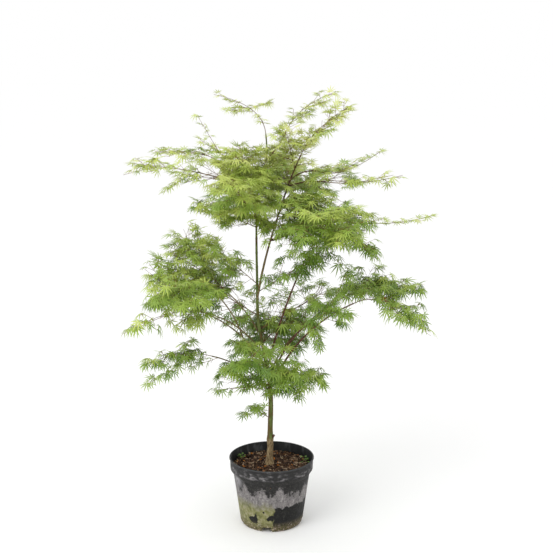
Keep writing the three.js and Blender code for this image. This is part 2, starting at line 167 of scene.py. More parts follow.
bpy.ops.object.camera_add(
    location=(CAMERA_ASIDE, -CAMERA_DISTANCE, CAMERA_HEIGHT), rotation=(math.pi / 2 - CAMERA_PITCH, 0, 0)
)
camera = bpy.context.object
camera.name = "camera"
camera.data.lens, camera.data.sensor_width = LENS_MM, SENSOR_MM
camera.data.clip_end = 100
bpy.context.scene.camera = camera

world = bpy.data.worlds.new("white_surround")
world.use_nodes = True
world.node_tree.nodes["Background"].inputs["Color"].default_value = linear("#ffffff")
world.node_tree.nodes["Background"].inputs["Strength"].default_value = 1.0
bpy.context.scene.world = world
bpy.context.scene.view_settings.view_transform = "Standard"

bpy.ops.object.light_add(type="AREA", location=LAMP_AT)
softbox = bpy.context.object
softbox.name = "softbox"
softbox.data.shape, softbox.data.size = "DISK", LAMP_WIDTH
softbox.data.energy = LAMP_WATTS
softbox.rotation_euler = (Vector(LAMP_AIM) - softbox.location).to_track_quat("-Z", "Y").to_euler()

bpy.ops.mesh.primitive_plane_add(size=60, location=(0, 0, -0.0005))
floor = bpy.context.object
floor.name = "floor"
floor_paper, _, _ = new_material("white_paper_sweep", "#ffffff", 0.95, Specular_IOR_Level=0.0)
floor.data.materials.append(floor_paper)

# %% [markdown]
# ## Reading the limbs
# The trunk, the second stem and the boughs are slim tapering limbs. The frame holds them as plain faceted
# solids. Cutting each one by planes across its length gives a row of small outlines, and the middle and size
# of each outline are all that a smooth limb needs.

# %% Directions
UP = np.array([0.0, 0.0, 1.0])


def unit(vector):
    return vector / np.linalg.norm(vector)


def turned(vector, axis, degrees):
    """A vector turned about a unit axis."""
    angle = math.radians(degrees)
    across = np.cross(axis, vector)
    along = axis * (axis @ vector)
    return vector * math.cos(angle) + across * math.sin(angle) + along * (1 - math.cos(angle))


# %% The middle line of a limb
CUTS = {"trunk": 40, "second_stem": 18}  # the two upright limbs, cut by level planes
BOUGH_CUTS = 9
UPRIGHT_FIRST_CUT, BOUGH_FIRST_CUT, LAST_CUT = 0.004, 0.03, 0.985  # shares of the limb's length
MANY_CORNERS = 24  # an outline with more than these is cut through a swelling, and its median is steadier


def corners_of(node):
    return np.array([corner.co[:] for corner in NODES[node].data.vertices])


def cut_across(corners, edges, place, axis):
    """The middle and the mean radius of the outline in which a plane cuts a limb."""
    height = (corners - place) @ axis
    low, high = height[edges[:, 0]], height[edges[:, 1]]
    crossed = (low < 0) != (high < 0)
    share = (low / (low - high + 1e-12))[crossed, None]
    met = corners[edges[crossed, 0]] * (1 - share) + corners[edges[crossed, 1]] * share
    middle = np.median(met, axis=0) if len(met) > MANY_CORNERS else met.mean(axis=0)
    return middle, float(np.median(np.linalg.norm(met - middle, axis=1)))


def middle_line(node):
    """The middles and radii of a limb from its foot to its tip."""
    corners = corners_of(node)
    edges = np.array([edge.vertices[:] for edge in NODES[node].data.edges])
    if node in CUTS:
        foot, tip = corners[corners[:, 2].argmin()], corners[corners[:, 2].argmax()]
        axis = UP
    else:
        first = corners[np.linalg.norm(corners - corners.mean(axis=0), axis=1).argmax()]
        other = corners[np.linalg.norm(corners - first, axis=1).argmax()]
        foot, tip = sorted((first, other), key=lambda end: math.hypot(end[0], end[1]))
        axis = unit(tip - foot)
    first_cut = UPRIGHT_FIRST_CUT if node in CUTS else BOUGH_FIRST_CUT
    rises = np.linspace(first_cut, LAST_CUT, CUTS.get(node, BOUGH_CUTS)) * ((tip - foot) @ axis)
    middles = [cut_across(corners, edges, foot + axis * rise, axis)[0] for rise in rises]
    neighbours = zip(middles[:1] + middles[:-1], middles[1:] + middles[-1:])
    ways = [unit(after - before) for before, after in neighbours]
    cuts = [cut_across(corners, edges, middle, way) for middle, way in zip(middles, ways)]
    return np.array([middle for middle, _ in cuts]), np.array([radius for _, radius in cuts])


# %% Smooth lines
def resample(points, values, spacing):
    """A smooth line through points, with values carried along, at about an even spacing."""
    before = np.vstack([2 * points[0] - points[1], points, 2 * points[-1] - points[-2]])
    line, carried = [points[0]], [values[0]]
    for i in range(1, len(points)):
        a, b, c, d = before[i - 1:i + 3]
        steps = max(1, round(np.linalg.norm(c - b) / spacing))
        for share in np.linspace(0, 1, steps + 1)[1:]:
            curved = (
                2 * b + (c - a) * share + (2 * a - 5 * b + 4 * c - d) * share**2
                + (3 * b - a - 3 * c + d) * share**3
            ) / 2
            line.append(curved)
            carried.append(values[i - 1] * (1 - share) + values[i] * share)
    return np.array(line), np.array(carried)


# %% The limbs' lines, each joined to its parent
lines = {name: middle_line(name) for name in LIMBS}
STUB_HEIGHTS = (0.288, 0.324)  # the cut stubs would pull the trunk's middle aside here
trunk_heights = lines["trunk"][0][:, 2]
plain = (trunk_heights < STUB_HEIGHTS[0]) | (trunk_heights > STUB_HEIGHTS[1])
lines["trunk"] = tuple(values[plain] for values in lines["trunk"])


def parent_of(name):
    """The limb that a limb grows from, and the place on the parent's middle line."""
    foot = lines[name][0][0]
    best = None
    for other, (points, radii) in lines.items():
        if other == name:
            continue
        away = np.linalg.norm(points - foot, axis=1)
        nearest = int(away.argmin())
        near = slice(max(0, nearest - 1), nearest + 2)
        dense, dense_radii = resample(points[near], radii[near], 0.002)
        gaps = np.linalg.norm(dense - foot, axis=1) - dense_radii
        if best is None or gaps.min() < best[0]:
            best = (gaps.min(), other, dense[gaps.argmin()])
    return best[1], best[2]


for name in LIMBS[1:]:
    parent, place = parent_of(name)
    points, radii = lines[name]
    lines[name] = np.vstack([place, points]), np.append(radii[0], radii)
    print(f"{name} leaves {parent} {place[2] * 1000:.0f} mm up, {2000 * radii[0]:.1f} mm thick at its foot")

# %% [markdown]
# ## The habit of every mass
# A mass of foliage is a spray: it grows on from a limb and fills a rounded space. The frame says where it
# starts, which is the place on a limb that its solid nearly touches. The table gives the rest: where the
# spray ends, how wide and deep it is, how deep or pale its green is, how its leaves hang, and its seed.
# Some masses also reach out in arms, narrow sprays that leave the limb or the stem of their mass part of the
# way along.

# %% The table of masses
# name: seed, azimuth of its end, reach, height, width, depth, tone from 0 deep to 7 pale, hang, leaf, filled
# The pale tones of the top masses are partly painted light, and the deep tones of low, inner and back masses
# partly painted shade.
HABITS = {
    "arm_right_high": (1001, 12.6, 0.381, 1.232, 0.159, 0.053, 4.6, 15, 0.042, 0.55),
    "arm_right_low": (1002, 341.8, 0.450, 1.179, 0.193, 0.056, 4.2, 30, 0.045, 0.57),
    "arm_right_thin": (3003, 357.6, 0.526, 1.034, 0.114, 0.032, 4.4, 10, 0.038, 0.98),
    "centre_back": (4, 89.6, 0.316, 0.596, 0.362, 0.244, 1.2, 35, 0.051, 0.76),
    "centre_front": (8005, 257.8, 0.320, 0.654, 0.301, 0.173, 2.0, 35, 0.051, 0.84),
    "centre_tuft": (2006, 306.0, 0.258, 0.953, 0.250, 0.089, 1.4, 35, 0.049, 0.84),
    "left_back": (2007, 138.1, 0.402, 0.793, 0.249, 0.229, 1.8, 30, 0.049, 0.88),
    "left_crown": (4008, 159.9, 0.344, 0.975, 0.311, 0.223, 3.2, 22, 0.049, 0.87),
    "left_droop": (5009, 213.5, 0.519, 0.737, 0.201, 0.131, 3.4, 35, 0.051, 0.74),
    "left_front": (4010, 221.7, 0.499, 0.848, 0.229, 0.153, 3.0, 30, 0.049, 0.95),
    "left_inner": (4011, 196.5, 0.199, 0.949, 0.204, 0.165, 3.1, 22, 0.048, 0.74),
    "left_low": (5012, 191.0, 0.439, 0.565, 0.146, 0.091, 2.4, 35, 0.051, 1.00),
    "left_low_inner": (13, 200.4, 0.210, 0.536, 0.174, 0.138, 2.0, 40, 0.051, 0.82),
    "left_outer": (9014, 180.2, 0.414, 0.897, 0.216, 0.154, 3.2, 28, 0.049, 1.00),
    "low_twig": (9015, 235.6, 0.135, 0.445, 0.123, 0.068, 2.2, 35, 0.049, 1.00),
    "right_back": (2016, 54.9, 0.350, 0.728, 0.320, 0.245, 1.8, 30, 0.049, 0.84),
    "right_crown": (1017, 11.5, 0.426, 0.810, 0.378, 0.172, 2.4, 30, 0.051, 1.00),
    "right_inner": (3018, 304.5, 0.360, 0.814, 0.228, 0.159, 1.8, 35, 0.051, 0.95),
    "right_low": (9019, 340.2, 0.197, 0.536, 0.216, 0.095, 2.2, 38, 0.051, 1.00),
    "right_low_front": (3020, 289.4, 0.237, 0.586, 0.144, 0.153, 2.4, 38, 0.051, 0.96),
    "right_outer": (6021, 344.5, 0.527, 0.708, 0.195, 0.137, 2.1, 38, 0.051, 0.84),
    "top_centre": (4022, 284.5, 0.171, 1.322, 0.217, 0.129, 5.3, 5, 0.042, 1.00),
    "top_high": (9023, 349.3, 0.216, 1.432, 0.176, 0.097, 5.3, 5, 0.036, 0.69),
    "top_left": (4024, 176.4, 0.198, 1.423, 0.141, 0.077, 5.5, 5, 0.036, 0.66),
    "top_right": (3025, 345.6, 0.265, 1.396, 0.159, 0.109, 5.6, 5, 0.038, 0.92),
    "under_right": (9026, 336.9, 0.378, 0.950, 0.219, 0.118, 2.1, 35, 0.051, 0.95),
    "upper_back_left": (8027, 121.8, 0.465, 1.126, 0.203, 0.217, 3.4, 15, 0.044, 0.61),
    "upper_back_right": (1028, 51.3, 0.462, 1.120, 0.283, 0.134, 3.2, 15, 0.044, 0.99),
    "upper_centre": (7029, 245.4, 0.257, 1.250, 0.415, 0.170, 5.2, 8, 0.044, 1.00),
    "upper_centre_back": (8030, 86.0, 0.337, 1.172, 0.254, 0.146, 3.6, 10, 0.044, 1.00),
    "upper_front": (5031, 257.5, 0.481, 1.194, 0.266, 0.168, 3.9, 14, 0.045, 1.00),
    "upper_left_front": (3032, 215.1, 0.295, 1.106, 0.158, 0.100, 4.0, 22, 0.045, 0.98),
    "upper_left_high": (4033, 177.9, 0.381, 1.232, 0.177, 0.087, 4.2, 10, 0.041, 0.73),
    "upper_left_long": (7034, 202.2, 0.462, 1.218, 0.236, 0.085, 4.3, 12, 0.042, 0.87),
    "upper_right": (8035, 349.1, 0.347, 1.012, 0.229, 0.119, 2.5, 20, 0.048, 1.00),
    "upper_right_front": (2036, 300.2, 0.464, 1.048, 0.323, 0.276, 2.9, 15, 0.045, 0.92),
    "upper_tip_left": (8037, 148.5, 0.297, 1.271, 0.094, 0.053, 4.4, 12, 0.038, 0.97),
}

# %% The table of arms
# mass, seed, place where the arm leaves (0 to 1 along the mass's limb, 1 to 2 along its stem), azimuth of the
# arm's end, reach, height, width, depth
ARMS = (
    ("arm_right_high", 203, 0.60, 5.1, 0.204, 1.195, 0.070, 0.060),
    ("arm_right_high", 204, 1.26, 5.4, 0.318, 1.215, 0.070, 0.050),
    ("arm_right_low", 6104, 1.42, 335.4, 0.430, 1.187, 0.060, 0.043),
    ("arm_right_low", 1105, 1.78, 348.9, 0.391, 1.114, 0.060, 0.050),
    ("arm_right_low", 200, 0.58, 334.7, 0.266, 1.075, 0.092, 0.052),
    ("arm_right_low", 201, 0.72, 340.9, 0.316, 1.156, 0.080, 0.060),
    ("arm_right_low", 202, 0.35, 338.6, 0.219, 1.185, 0.070, 0.060),
    ("arm_right_thin", 211, 0.78, 352.6, 0.371, 1.028, 0.060, 0.050),
    ("arm_right_thin", 212, 0.40, 354.3, 0.337, 0.986, 0.060, 0.057),
    ("centre_front", 116, 1.37, 301.1, 0.269, 0.618, 0.078, 0.060),
    ("centre_tuft", 9217, 1.40, 288.6, 0.156, 0.948, 0.103, 0.060),
    ("left_droop", 119, 1.60, 196.8, 0.514, 0.669, 0.078, 0.045),
    ("left_droop", 205, 1.40, 211.6, 0.344, 0.689, 0.103, 0.060),
    ("left_droop", 6206, 1.20, 210.1, 0.305, 0.678, 0.103, 0.060),
    ("left_droop", 207, 1.68, 211.2, 0.426, 0.742, 0.080, 0.060),
    ("left_inner", 110, 1.16, 222.9, 0.148, 0.817, 0.061, 0.060),
    ("left_low", 7117, 1.25, 195.0, 0.433, 0.493, 0.092, 0.079),
    ("left_low", 7118, 1.68, 197.9, 0.245, 0.659, 0.080, 0.060),
    ("left_low", 213, 0.90, 193.0, 0.304, 0.540, 0.080, 0.060),
    ("left_low_inner", 214, 1.48, 194.2, 0.173, 0.463, 0.092, 0.052),
    ("left_low_inner", 215, 1.35, 208.9, 0.244, 0.490, 0.080, 0.069),
    ("left_outer", 220, 1.50, 180.0, 0.432, 0.881, 0.080, 0.052),
    ("low_twig", 216, 1.50, 201.1, 0.137, 0.382, 0.070, 0.058),
    ("right_crown", 111, 1.86, 5.0, 0.521, 0.774, 0.103, 0.091),
    ("right_inner", 3113, 1.13, 314.2, 0.245, 0.612, 0.090, 0.069),
    ("right_inner", 9120, 1.76, 322.9, 0.314, 0.935, 0.090, 0.069),
    ("right_low", 6114, 1.40, 311.9, 0.093, 0.419, 0.137, 0.052),
    ("right_low", 8115, 1.86, 344.9, 0.198, 0.467, 0.080, 0.060),
    ("right_outer", 112, 1.47, 341.9, 0.547, 0.661, 0.076, 0.050),
    ("top_high", 7209, 1.22, 1.6, 0.072, 1.388, 0.070, 0.050),
    ("top_high", 210, 1.50, 4.5, 0.109, 1.367, 0.070, 0.050),
    ("top_left", 3100, 1.46, 192.1, 0.159, 1.364, 0.070, 0.057),
    ("top_left", 4101, 1.54, 287.9, 0.075, 1.393, 0.060, 0.043),
    ("top_left", 208, 1.16, 208.4, 0.034, 1.342, 0.060, 0.050),
    ("under_right", 106, 1.79, 343.0, 0.378, 0.883, 0.061, 0.069),
    ("under_right", 107, 1.33, 327.8, 0.294, 0.848, 0.092, 0.060),
    ("under_right", 108, 1.10, 316.0, 0.204, 0.872, 0.092, 0.091),
    ("upper_left_high", 218, 1.40, 179.9, 0.390, 1.235, 0.070, 0.050),
    ("upper_left_long", 6102, 1.39, 195.6, 0.356, 1.106, 0.061, 0.058),
    ("upper_left_long", 5103, 1.80, 192.1, 0.486, 1.166, 0.052, 0.050),
    ("upper_left_long", 219, 0.82, 202.5, 0.313, 1.181, 0.070, 0.069),
    ("upper_right_front", 7109, 1.27, 283.0, 0.328, 0.945, 0.115, 0.045),
    ("upper_tip_left", 1121, 1.42, 148.6, 0.298, 1.358, 0.053, 0.057),
)
print(f"{len(HABITS)} masses reach out in {len(ARMS)} arms")


# %% Where every mass grows
def spray_end(azimuth, reach, height):
    """The place at an azimuth in degrees, a distance from the pot's axis and a height."""
    turn = math.radians(azimuth)
    return np.array([reach * math.cos(turn), reach * math.sin(turn), height])


def spray_space(start, way, end, width, depth):
    """The start, first direction, far end, axes and size of the space that a spray fills."""
    along = unit(end - start)
    side = unit(np.cross(UP, along))
    return {
        "start": start,
        "way": along if way is None else way,
        "end": end,
        "along": along,
        "side": side,
        "lift": np.cross(along, side),
        "width": width,
        "depth": depth,
    }


def mass_space(name, habit):
    """The limb that a mass grows on, and the space that it fills."""
    corners = np.unique(np.round(corners_of(f"foliage_{name}"), 5), axis=0)
    nearest = None
    for limb, (points, radii) in dense_lines.items():
        gaps = np.linalg.norm(corners[:, None] - points[None], axis=2).min(axis=0) - radii
        if nearest is None or gaps.min() < nearest[0]:
            nearest = (gaps.min(), limb, int(gaps.argmin()))
    _, limb, index = nearest
    points = dense_lines[limb][0]
    way = unit(points[-1] - points[-4]) if index > len(points) - 4 else None
    _, azimuth, reach, height, width, depth, *_ = habit
    return limb, spray_space(points[index], way, spray_end(azimuth, reach, height), width, depth)


dense_lines = {name: resample(*line, 0.003) for name, line in lines.items()}
trunk_line, _ = resample(*lines["trunk"], 0.01)
masses = {name: mass_space(name, habit) for name, habit in HABITS.items()}
for name, (limb, space) in masses.items():
    print(f"{name} grows from {limb} at {space['start'][2]:.2f} m and ends at {space['end'][2]:.2f} m")

# %% [markdown]
# ## How a spray grows
# One rule makes every spray. A stem runs from the start to the far end. Pairs of twigs leave it at even
# nodes, turned to both sides and a little up or down, each as long as the space has room for, with a pair of
# leaves between two nodes. The twigs carry pairs of finer twigs or leaves in the same manner, and every tip
# ends in two or three leaves. Chance moves each angle and length a little, and leaves out some of the leaves
# and twigs, so that light comes through.

# %% The space that a spray keeps to
FULLNESS = 2.6  # 2 is an ellipsoid, and more is boxier
STRIDE = 0.010  # a twig is drawn and its room is felt out in steps of this length


def space_measure(space):
    """A function of a place that is 0 in the middle of a spray's space and 1 at its edge."""
    axes = np.array([space["along"], space["side"], space["lift"]])
    half = np.array([np.linalg.norm(space["end"] - space["start"]), space["width"], space["depth"]]) / 2
    middle = (space["start"] + space["end"]) / 2

    def measure(place):
        return float((np.abs(axes @ (place - middle) / half) ** FULLNESS).sum() ** (1 / FULLNESS))

    return measure


def room_along(measure, place, way, most=0.5):
    """How far one can go from a place before leaving a space."""
    gone = 0.0
    while gone < most and measure(place + way * (gone + STRIDE)) < 1:
        gone += STRIDE
    return gone


# %% One twig's line
WANDER = 0.07  # how far chance turns a twig at each step
BEND = 0.04  # how far it turns towards its parent's direction
SAG = 0.12  # how far its tip sinks
FIRST_SAG, FINER_SAG = 0.5, 0.7  # share of that for a side twig, and for a finer twig on it


def twig_line(start, way, length, towards, sag, chance):
    """A twig's line: it leaves one way, bends slowly towards another and sags to its tip."""
    steps = max(2, round(length / STRIDE))
    points = [start]
    for step in range(steps):
        wander = np.array([chance.uniform(-1, 1) for _ in range(3)]) * WANDER
        way = unit(way + towards * BEND + wander - UP * sag * (step / steps) * SAG)
        points.append(points[-1] + way * length / steps)
    return np.array(points)


def place_on(line, share):
    """The place and the direction at a share of a line's length."""
    position = share * (len(line) - 1)
    index = min(int(position), len(line) - 2)
    step = line[index + 1] - line[index]
    return line[index] + step * (position - index), unit(step)


# %% The leaves of a spray
CROWDED = 0.013  # no leaf starts nearer than this to another
TRUNK_ROOM = 0.012
LEAF_SIZES = (0.78, 1.1)  # a leaf's length on its mass's
HANG_SPREAD = 16  # degrees
LEAF_RISE = (-0.1, 0.45)  # how far a leaf's stalk turns down or up
LEAF_EDGE = 1.05  # no leaf's tip goes further out than this, where 1 is the edge of the space
LEAF_ANGLE, LAST_LEAF_ANGLE, LEAF_SPREAD = 62, 42, 16  # degrees from the twig, at its nodes and at its tip
LEAF_TONE_SPREAD = 0.5


def add_leaf(spray, place, way, tone):
    """Adds a leaf that leaves a place one way, if it has room there and chance doesn't leave it out."""
    chance = spray.chance
    size = spray.leaf * chance.uniform(*LEAF_SIZES)
    down = math.radians(spray.hang + chance.gauss(0, HANG_SPREAD))
    level = unit(way * (1, 1, 0.5))
    tip = place + (level * math.cos(down) - UP * math.sin(down)) * size * 0.9
    if chance.random() > spray.filled or spray.measure(tip) > LEAF_EDGE:
        return
    hub = place + level * size * 0.3
    cell = tuple((hub / CROWDED).astype(int))
    middle = [np.interp(hub[2], trunk_line[:, 2], trunk_line[:, axis]) for axis in (0, 1)]
    if cell in spray.taken or max(abs(middle - hub[:2])) < TRUNK_ROOM:
        return
    spray.taken.add(cell)
    leaf_tone = tone + chance.uniform(-LEAF_TONE_SPREAD, LEAF_TONE_SPREAD)
    spray.leaves.append((place, level, math.degrees(down), size, leaf_tone))


def add_pair(spray, place, way, tone, angle=LEAF_ANGLE):
    """Adds a leaf to each side of a twig."""
    for hand in (-1, 1):
        turn = hand * (angle + spray.chance.uniform(-LEAF_SPREAD, LEAF_SPREAD))
        outwards = turned(way, spray.lift, turn)
        add_leaf(spray, place, outwards + UP * spray.chance.uniform(*LEAF_RISE), tone)


def add_tip(spray, line, tone):
    """Adds the two or three leaves at a twig's tip."""
    place, way = place_on(line, 1)
    add_pair(spray, place, way, tone, LAST_LEAF_ANGLE)
    if spray.chance.random() < 0.5:
        add_leaf(spray, place, way, tone)


# %% The side twigs of a spray
TWIG_NODES = 0.56  # between one pair of leaves or finer twigs and the next, in leaf lengths
SHORTEST_TWIG = 0.016
TWIG_TIP = 0.0005  # radius
FINER_SHARE = 0.62  # a finer twig's thickness on its parent's
EDGE_ROOM = 0.6  # twigs end this many leaf lengths before the edge of the space, for their last leaves
FINER_ANGLE, FINER_SPREAD = 50, 12  # degrees


def grow_twig(spray, start, way, reach, towards, order, tone, thick):
    """Grows a side twig with its own finer twigs and leaves."""
    chance = spray.chance
    line = twig_line(start, way, reach, towards, FIRST_SAG if order == 1 else FINER_SAG, chance)
    spray.twigs.append((line, (thick, TWIG_TIP)))
    nodes = max(1, round(reach / TWIG_NODES / spray.leaf))
    for node in range(nodes):
        share = (node + 0.6) / (nodes + 0.45)
        place, ahead = place_on(line, share)
        for hand in (-1, 1):
            turn = hand * (FINER_ANGLE + chance.uniform(-FINER_SPREAD, FINER_SPREAD))
            outwards = turned(ahead, spray.lift, turn)
            room = room_along(spray.measure, place, outwards, 0.2) - spray.leaf * EDGE_ROOM
            finer = min(room, reach * (1 - share) * 0.75)
            if order == 1 and finer > SHORTEST_TWIG and chance.random() < 0.75 * spray.filled:
                lift = UP * chance.uniform(-0.15, 0.45)
                grow_twig(spray, place, unit(outwards + lift), finer, ahead, 2, tone, thick * FINER_SHARE)
                continue
            add_leaf(spray, place, outwards + UP * chance.uniform(*LEAF_RISE), tone)
    add_tip(spray, line, tone)


# %% One spray
STEM_NODES = 0.78  # between one pair of side twigs and the next, in leaf lengths
TWIG_FOOT, TWIG_GAIN = 0.0006, 0.0045  # the least radius at a twig's foot, and what a metre of reach adds
SIDE_ANGLE, SIDE_SPREAD = 52, 14  # degrees
# A twig that rises takes a paler tone, painted light on the upper side of a spray.
TONE_SPREAD, LIFTED_TONE = 1.3, 0.7  # by chance, and for a twig that rises


def grow_spray(space, seed, tone, hang, leaf, filled, taken):
    """The twigs of a spray as (line, radii), and its leaves as (place, way, hang, length, tone)."""
    spray = SimpleNamespace(
        chance=random.Random(seed), measure=space_measure(space), lift=space["lift"], hang=hang, leaf=leaf,
        filled=filled, taken=taken, twigs=[], leaves=[],
    )
    chance = spray.chance
    # The stem is one long bend, which leaves the limb in the limb's own direction.
    start, length = space["start"], np.linalg.norm(space["end"] - space["start"])
    end = space["end"] - space["along"] * leaf * 0.7
    bend = start + space["way"] * length * 0.4
    shares = np.linspace(0, 1, max(4, round(length / STRIDE)))[:, None]
    stem = (1 - shares) ** 2 * start + 2 * shares * (1 - shares) * bend + shares**2 * end
    spray.twigs.append((stem, (TWIG_FOOT + TWIG_GAIN * space["width"], TWIG_FOOT)))
    nodes = max(2, round(length / STEM_NODES / leaf))
    for node in range(nodes):
        share = (node + 0.55) / (nodes + 0.2)
        place, ahead = place_on(stem, share)
        for hand in (-1, 1):
            rise = (0.75 if (node % 2) == (hand > 0) else -0.3) + chance.uniform(-0.25, 0.25)
            turn = hand * (SIDE_ANGLE + chance.uniform(-SIDE_SPREAD, SIDE_SPREAD))
            outwards = unit(turned(ahead, spray.lift, turn) + spray.lift * rise)
            reach = (room_along(spray.measure, place, outwards) - leaf * EDGE_ROOM) * chance.uniform(0.75, 1)
            twig_tone = tone + chance.uniform(-TONE_SPREAD, TONE_SPREAD) + LIFTED_TONE * rise
            if reach > SHORTEST_TWIG and chance.random() < filled:
                thick = TWIG_FOOT + TWIG_GAIN * reach
                grow_twig(spray, place, outwards, reach, ahead, 1, twig_tone, thick)
            else:
                add_leaf(spray, place, outwards + UP * chance.uniform(-0.05, 0.3), twig_tone)
        place, ahead = place_on(stem, share + 0.45 / nodes)
        add_pair(spray, place, ahead, tone)
    add_tip(spray, stem, tone)
    return spray.twigs, spray.leaves


# %% One mass
ARM_FILLED = 0.8  # the least share of its leaves that an arm keeps


def grow_mass(name):
    """The twigs and leaves of a mass with its arms."""
    seed, *_, tone, hang, leaf, filled = HABITS[name]
    limb, space = masses[name]
    taken = set()
    twigs, leaves = grow_spray(space, seed, tone, hang, leaf, filled, taken)
    stem, limb_line = twigs[0][0], dense_lines[limb][0]
    for arm_of, arm_seed, where, azimuth, reach, height, width, depth in ARMS:
        if arm_of != name:
            continue
        start, _ = place_on(stem, where - 1) if where > 1 else place_on(limb_line, where)
        space = spray_space(start, None, spray_end(azimuth, reach, height), width, depth)
        arm = grow_spray(space, arm_seed, tone, hang, leaf, max(filled, ARM_FILLED), taken)
        twigs += arm[0]
        leaves += arm[1]
    return twigs, leaves


# %% [markdown]
# ## One leaf
# A cut-leaf maple has a palmate leaf: seven narrow lobes spread from the top of the stalk like fingers, the
# middle three the longest, each widest past its middle, folded a little along its rib and hanging at its tip.
# Six faces make a lobe, so that a leaf has forty-two. Six leaves are drawn once, three nearly flat and
# three curled, and every leaf of the plant is a turned and scaled copy of one of them.

# %% Leaf blades
LOBES = (  # turn in degrees, length
    (0, 1.0), (30, 0.95), (-30, 0.95), (62, 0.80), (-62, 0.80), (100, 0.48), (-100, 0.48),
)
LOBE_WIDTHS = ((0.30, 0.057), (0.60, 0.047))  # share of the lobe's length, half its width there
FOLD = 0.35  # how far a lobe's edges lie below its rib, on their distance from it
STALK_SHARE = 0.28  # of a leaf's length
FLAT_KINDS, BLADE_KINDS = 3, 6
CURLS = [0.10 + 0.08 * kind for kind in range(BLADE_KINDS)]  # how far a lobe one unit long sinks to its tip
LEVEL_HANG = 20  # a leaf that hangs by fewer degrees takes a flat blade


def leaf_blade(kind):
    """Corners and faces of a blade one unit long, its stalk's top at the origin, its middle lobe along +X."""
    chance = random.Random(500 + kind)
    curl = CURLS[kind]
    corners, faces = [(0.0, 0.0, 0.0)], []
    for turn, reach in LOBES:
        angle = math.radians(turn + chance.uniform(-5, 5))
        reach *= chance.uniform(0.9, 1.05)
        first = len(corners)
        for share, half in LOBE_WIDTHS + ((1.0, 0.0),):
            out = share * reach
            for hand in (-1, 0, 1) if half else (0,):
                x = out * math.cos(angle) - hand * half * math.sin(angle)
                y = out * math.sin(angle) + hand * half * math.cos(angle)
                corners.append((x, y, -curl * out * out - abs(hand) * half * FOLD))
        right, rib, left, right2, rib2, left2, tip = range(first, first + 7)
        faces += [(0, right, rib), (0, rib, left), (right, right2, rib2, rib), (rib, rib2, left2, left)]
        faces += [(right2, tip, rib2), (rib2, tip, left2)]
    return np.array(corners), faces


BLADES = [leaf_blade(kind) for kind in range(BLADE_KINDS)]
print(f"{len(BLADES)} blades of {len(BLADES[0][1])} faces each")


def blade_of(index, hang):
    """One of the flatter blades for a leaf that lies nearly level, and a curled one for one that hangs."""
    return BLADES[index % FLAT_KINDS + (FLAT_KINDS if hang > LEVEL_HANG else 0)]


# %% How every leaf lies
SIDEWAYS = 0.3  # how far chance turns a leaf from its stalk's line
ROLL = 30  # degrees, about its own rib
STALK_RISE = 0.15


def leaf_frames(rows):
    """For each leaf, its stalk's root, the top of its stalk, and its blade's three axes times its length."""
    chance = random.Random(77)
    roots, hubs, axes = [], [], []
    for place, level, hang, size, _ in rows:
        down = math.radians(hang)
        out = level * math.cos(down) - UP * math.sin(down)
        across = unit(np.cross(UP, level))
        out = unit(out + across * chance.uniform(-SIDEWAYS, SIDEWAYS))
        face = unit(np.cross(out, across))
        face = turned(face, out, chance.uniform(-ROLL, ROLL))
        across = np.cross(face, out)
        roots.append(place)
        hubs.append(place + (level + UP * STALK_RISE) * size * STALK_SHARE)
        axes.append(np.array([out, across, face]) * size * (1 - STALK_SHARE))
    return np.array(roots), np.array(hubs), np.array(axes)


# %% [markdown]
# ## Growing every mass
# Each mass keeps its own random seeds, so a change to one leaves the others as they are. A set of small cells
# that already hold a leaf belongs to each mass, because leaves that start in one place would pass through
# each other. A few openings are left where one looks through the plant, since a maple is airy and its light
# green only reads as such with sky between the sprays. An opening is a round tunnel through the whole plant,
# along the line of sight of somebody who stands in front of it. Leaves also keep clear of the front of the
# two stems where those show as dark lines against the crown.

# %% Openings, and limbs that show
EYE = np.array([0.0, -CAMERA_DISTANCE, CAMERA_HEIGHT])
OPENINGS = (
    (-0.369, 0.700, 0.027), (-0.047, 0.430, 0.027), (0.056, 0.871, 0.027), (0.206, 1.140, 0.027),
    (0.095, 0.753, 0.027), (-0.208, 1.165, 0.027), (-0.072, 0.832, 0.027), (-0.109, 1.000, 0.021),
    (-0.135, 0.923, 0.021), (-0.274, 0.987, 0.027), (0.219, 1.077, 0.021), (0.043, 0.936, 0.021),
    (0.186, 0.687, 0.027), (0.312, 0.858, 0.027), (-0.123, 0.766, 0.027), (0.159, 0.779, 0.027),
    (-0.125, 0.471, 0.027), (0.069, 0.806, 0.021), (-0.072, 0.740, 0.021), (0.310, 0.962, 0.021),
    (-0.151, 0.484, 0.027), (0.018, 0.726, 0.027), (-0.149, 0.740, 0.027), (-0.071, 1.000, 0.016),
    (0.363, 0.845, 0.021), (0.197, 0.819, 0.021), (-0.391, 0.858, 0.021), (0.313, 0.753, 0.027),
    (-0.304, 0.687, 0.021), (-0.033, 0.779, 0.021), (-0.183, 1.165, 0.027), (0.154, 1.327, 0.021),
)  # x and height of the middle in the plane of the trunk, radius
NONE_CROSSES = 9
# limb, the two heights between which it shows, room beside it, height from one crossing spray to the next
SHOWN_LIMBS = (
    ("second_stem", 0.95, 1.27, 0.010, 0.062),
    ("trunk", 0.46, 1.03, 0.009, 0.062),
    ("trunk", 0.30, 0.41, 0.016, NONE_CROSSES),
)
CROSSING = 0.020  # height of the band in which a spray crosses
LEAF_MIDDLE = 0.4  # of a blade's length


def seen_at(place):
    """Where a place seems to lie in the plane of the trunk, for the eye in front."""
    return EYE + (place - EYE) * -EYE[1] / (place[..., 1:2] - EYE[1])


shown = []
for limb, low, high, room, spacing in SHOWN_LIMBS:
    line = dense_lines[limb][0]
    line = line[(line[:, 2] > low) & (line[:, 2] < high)]
    shown.append((line, seen_at(line), room, spacing))


